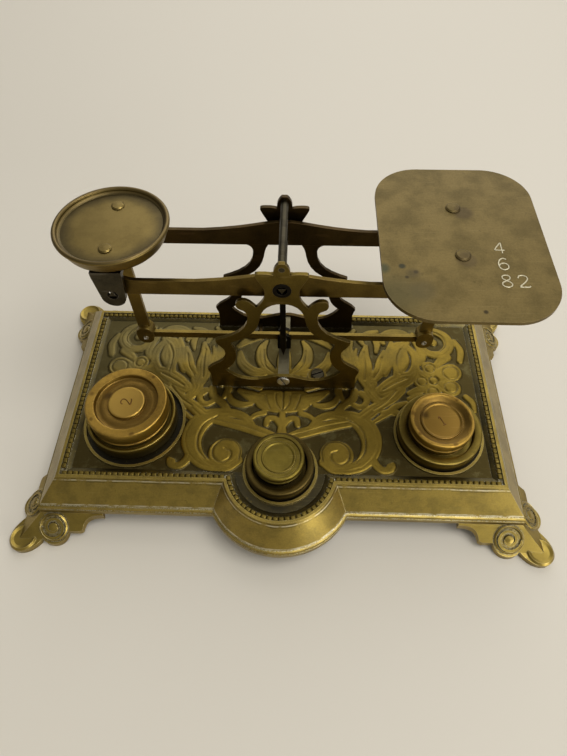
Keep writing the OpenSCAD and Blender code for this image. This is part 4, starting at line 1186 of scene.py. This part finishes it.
@dataclass
class UpperWeight(Part):
    """A round weight with a foot for stacking and a turned channel in its top.

    Its place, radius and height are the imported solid's.
    """

    side: str
    finish: MetalFinish
    slot: Slot = Slot.BRIGHT

    @property
    def body(self) -> str:
        """Body that carries the weight."""
        return f"{self.side}_upper"

    def build(self) -> bpy.types.Object:
        """Turns the weight.

        Returns:
            The piece, which stands for the solid.
        """
        node = f"{self.side}_upper_weight"
        solid = packed_disc(node)
        radius, base, top = solid.radius, solid.base, solid.top
        profile = [(0.0, base), (radius - 0.8, base), (radius - 0.3, base + 0.5),
                   (radius - 0.3, base + 1.5), (radius - 0.7, base + 1.8),
                   (radius - 0.7, base + 2.1), (radius - 0.2, base + 2.6), (radius, base + 3.1),
                   (radius, top - 0.5), (radius - 0.12, top - 0.2), (radius - 0.4, top),
                   (radius - 0.7, top)]
        profile += [(share * radius, top - drop) for share, drop in CHANNELS[self.side]]
        piece = turned(f"{self.side}_turned_weight", solid.x, solid.y, profile)
        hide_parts(node)
        return piece


@dataclass
class Numeral(Part):
    """A plain number worked into a face as rounded lines."""

    finish: MetalFinish
    body: str
    slot: Slot
    name: str
    digit: str
    place: Place
    height: float
    turn: float
    proud: float
    line_w: float = 0.5

    # Corners round a line, steps between two of its points and the width that its ends keep
    AROUND, STEPS, TAPER = 8, 6, 0.4
    def build(self) -> bpy.types.Object:
        """Makes each line of the number as a low rounded ridge with tapered ends.

        Returns:
            The piece.
        """
        corners, faces, around = [], [], self.AROUND
        for line in DIGITS[self.digit]:
            points = rounded(line, self.STEPS) * self.height
            runs = np.gradient(points, axis=0)
            runs /= np.linalg.norm(runs, axis=1)[:, None]
            faces += skin(len(corners), len(points), around)
            for k, ((x, y), (dx, dy)) in enumerate(zip(points, runs)):
                full = self.line_w / 2 * (1.0 if 0 < k < len(points) - 1 else self.TAPER)
                for corner in range(around):
                    angle = 2 * math.pi * corner / around
                    side = full * math.cos(angle)
                    corners.append((x - dy * side, y + dx * side,
                                    full * self.proud * math.sin(angle)))
        c, s = math.cos(self.turn), math.sin(self.turn)
        x0, y0, z0 = self.place
        placed = [(x0 + c * x - s * y, y0 + s * x + c * y, z0 + z) for x, y, z in corners]
        return new_piece(self.name, placed, faces)


@dataclass
class Studio:
    """Camera, lamps, world and the pale floor."""

    place: Place = (5.961, -133.613, 232.310)
    yaw: float = 0.042424
    pitch: float = 0.971487
    roll: float = -0.013683
    lens: float = 26.286
    aim: Place = (0.0, 0.0, 0.04)
    floor_half: float = 3.0
    floor_tone: Colour = srgb(212, 205, 191)
    backdrop: Colour = srgb(226, 222, 214)
    left_light: Colour = srgb(138, 136, 130)
    right_light: Colour = srgb(186, 184, 178)
    fade: tuple[float, float] = (0.62, 1.3)

    # Place, side of its square and power in watts of each lamp
    LAMPS = {"key": ((0.35, -0.15, 0.9), 0.5, 4.2), "back": ((0.12, 0.95, 0.75), 1.2, 6.5),
             "window": ((0.75, -0.8, 0.24), 0.5, 4.3)}

    def build(self) -> None:
        """Makes everything round the object."""
        self.camera()
        for name, (place, size, power) in self.LAMPS.items():
            self.lamp(name, place, size, power)
        self.floor()
        self.world()
        bpy.context.scene.view_settings.view_transform = "Standard"

    def camera(self) -> None:
        """Puts the camera at the photograph's place, which is in millimetres."""
        right = Vector((math.cos(self.yaw), math.sin(self.yaw), 0))
        down = math.cos(self.pitch)
        ahead = Vector((-math.sin(self.yaw) * down, math.cos(self.yaw) * down,
                        -math.sin(self.pitch)))
        up = right.cross(ahead)
        c, s = math.cos(self.roll), math.sin(self.roll)
        right, up = c * right + s * up, c * up - s * right
        data = bpy.data.cameras.new("camera")
        data.lens = self.lens
        data.clip_start = 0.01
        camera = bpy.data.objects.new("camera", data)
        axes = Matrix((right, up, -ahead)).transposed()
        camera.matrix_world = Matrix.Translation(Vector(self.place) * MM) @ axes.to_4x4()
        bpy.context.scene.collection.objects.link(camera)
        bpy.context.scene.camera = camera

    def lamp(self, name: str, place: Place, size: float, power: float) -> None:
        """Adds one square lamp that looks at the object.

        Args:
            name: Its name.
            place: Where it is.
            size: Side of its square.
            power: Its power in watts.
        """
        data = bpy.data.lights.new(name, "AREA")
        data.size = size
        data.energy = power
        lamp = bpy.data.objects.new(name, data)
        lamp.location = place
        aim = Vector(self.aim) - Vector(place)
        lamp.rotation_euler = aim.to_track_quat("-Z", "Y").to_euler()
        bpy.context.scene.collection.objects.link(lamp)

    def floor(self) -> None:
        """Lays the pale floor, which fades into the backdrop far from the object."""
        half = self.floor_half
        mesh = bpy.data.meshes.new("floor")
        mesh.from_pydata([(-half, -half, 0), (half, -half, 0), (half, half, 0), (-half, half, 0)],
                         [], [(0, 1, 2, 3)])
        floor = bpy.data.objects.new("floor", mesh)
        bpy.context.scene.collection.objects.link(floor)
        material = bpy.data.materials.new("pale_floor")
        material.use_nodes = True
        graph = Graph(material.node_tree)
        cloth = graph.node("ShaderNodeBsdfPrincipled", {}, Base_Color=self.floor_tone,
                           Roughness=0.9)
        haze = graph.node("ShaderNodeEmission", {}, self.backdrop, 1.0)
        where = graph.node("ShaderNodeTexCoord", {}, out="Object")
        far = graph.vector("LENGTH", where, out="Value").step(*self.fade)
        seen = graph.node("ShaderNodeLightPath", {}, out="Is Camera Ray") * far
        graph.close("ShaderNodeOutputMaterial",
                    graph.node("ShaderNodeMixShader", {}, seen, cloth, haze))
        floor.data.materials.append(material)

    def world(self) -> None:
        """Soft light all round, with a pale backdrop for the camera."""
        world = bpy.data.worlds.new("studio")
        bpy.context.scene.world = world
        world.use_nodes = True
        graph = Graph(world.node_tree)
        towards = graph.node("ShaderNodeTexCoord", {}, out="Generated")
        right = graph.node("ShaderNodeSeparateXYZ", {}, towards, out="X").step(-0.9, 0.7)
        light = graph.blend(right, self.left_light, self.right_light)
        seen = graph.node("ShaderNodeLightPath", {}, out="Is Camera Ray")
        colour = graph.blend(seen, light, self.backdrop)
        graph.close("ShaderNodeOutputWorld", graph.node("ShaderNodeBackground", {}, colour, 1.0))


def main() -> None:
    """Builds the letter balance and its studio."""
    logging.basicConfig(level=logging.INFO, format="%(message)s")
    dresser = Dresser()
    for finish, nodes in CARRIED_OVER:
        dresser.dress_nodes(finish, *nodes)
    for side, stain in STAINED_CHANNELS.items():
        UpperWeight(side, channel_stained(side, *stain)).add(dresser)
    UpperWeight("centre", WEIGHT_OLIVE).add(dresser)
    for side, finish, groove in LOWER_WEIGHTS:
        LowerWeight(side, finish, groove).add(dresser)
    FloorRelief().add(dresser)
    BeadBorder().add(dresser)
    for side, (digit, height, turn) in STAMPS.items():
        solid = packed_disc(f"{side}_upper_weight")
        place = (solid.x, solid.y, solid.top - CHANNELS[side][-1][1] + NUMBER_LIFT)
        Numeral(STAMPED, f"{side}_upper", Slot.BRIGHT, f"{side}_weight_number", digit, place,
                height, turn, STAMP_PROUD).add(dresser)
    plate_z = packed_disc("letter_plate").top
    for digit, (x, y) in PLATE_NUMBERS.items():
        Numeral(ENGRAVED, "letter_plate_side", Slot.WORN, f"plate_number_{digit}", digit,
                (x, y, plate_z + NUMBER_LIFT), PLATE_DIGIT_H, PLATE_TURN, PLATE_PROUD).add(dresser)
    Studio().build()


if __name__ == "__main__":
    main()
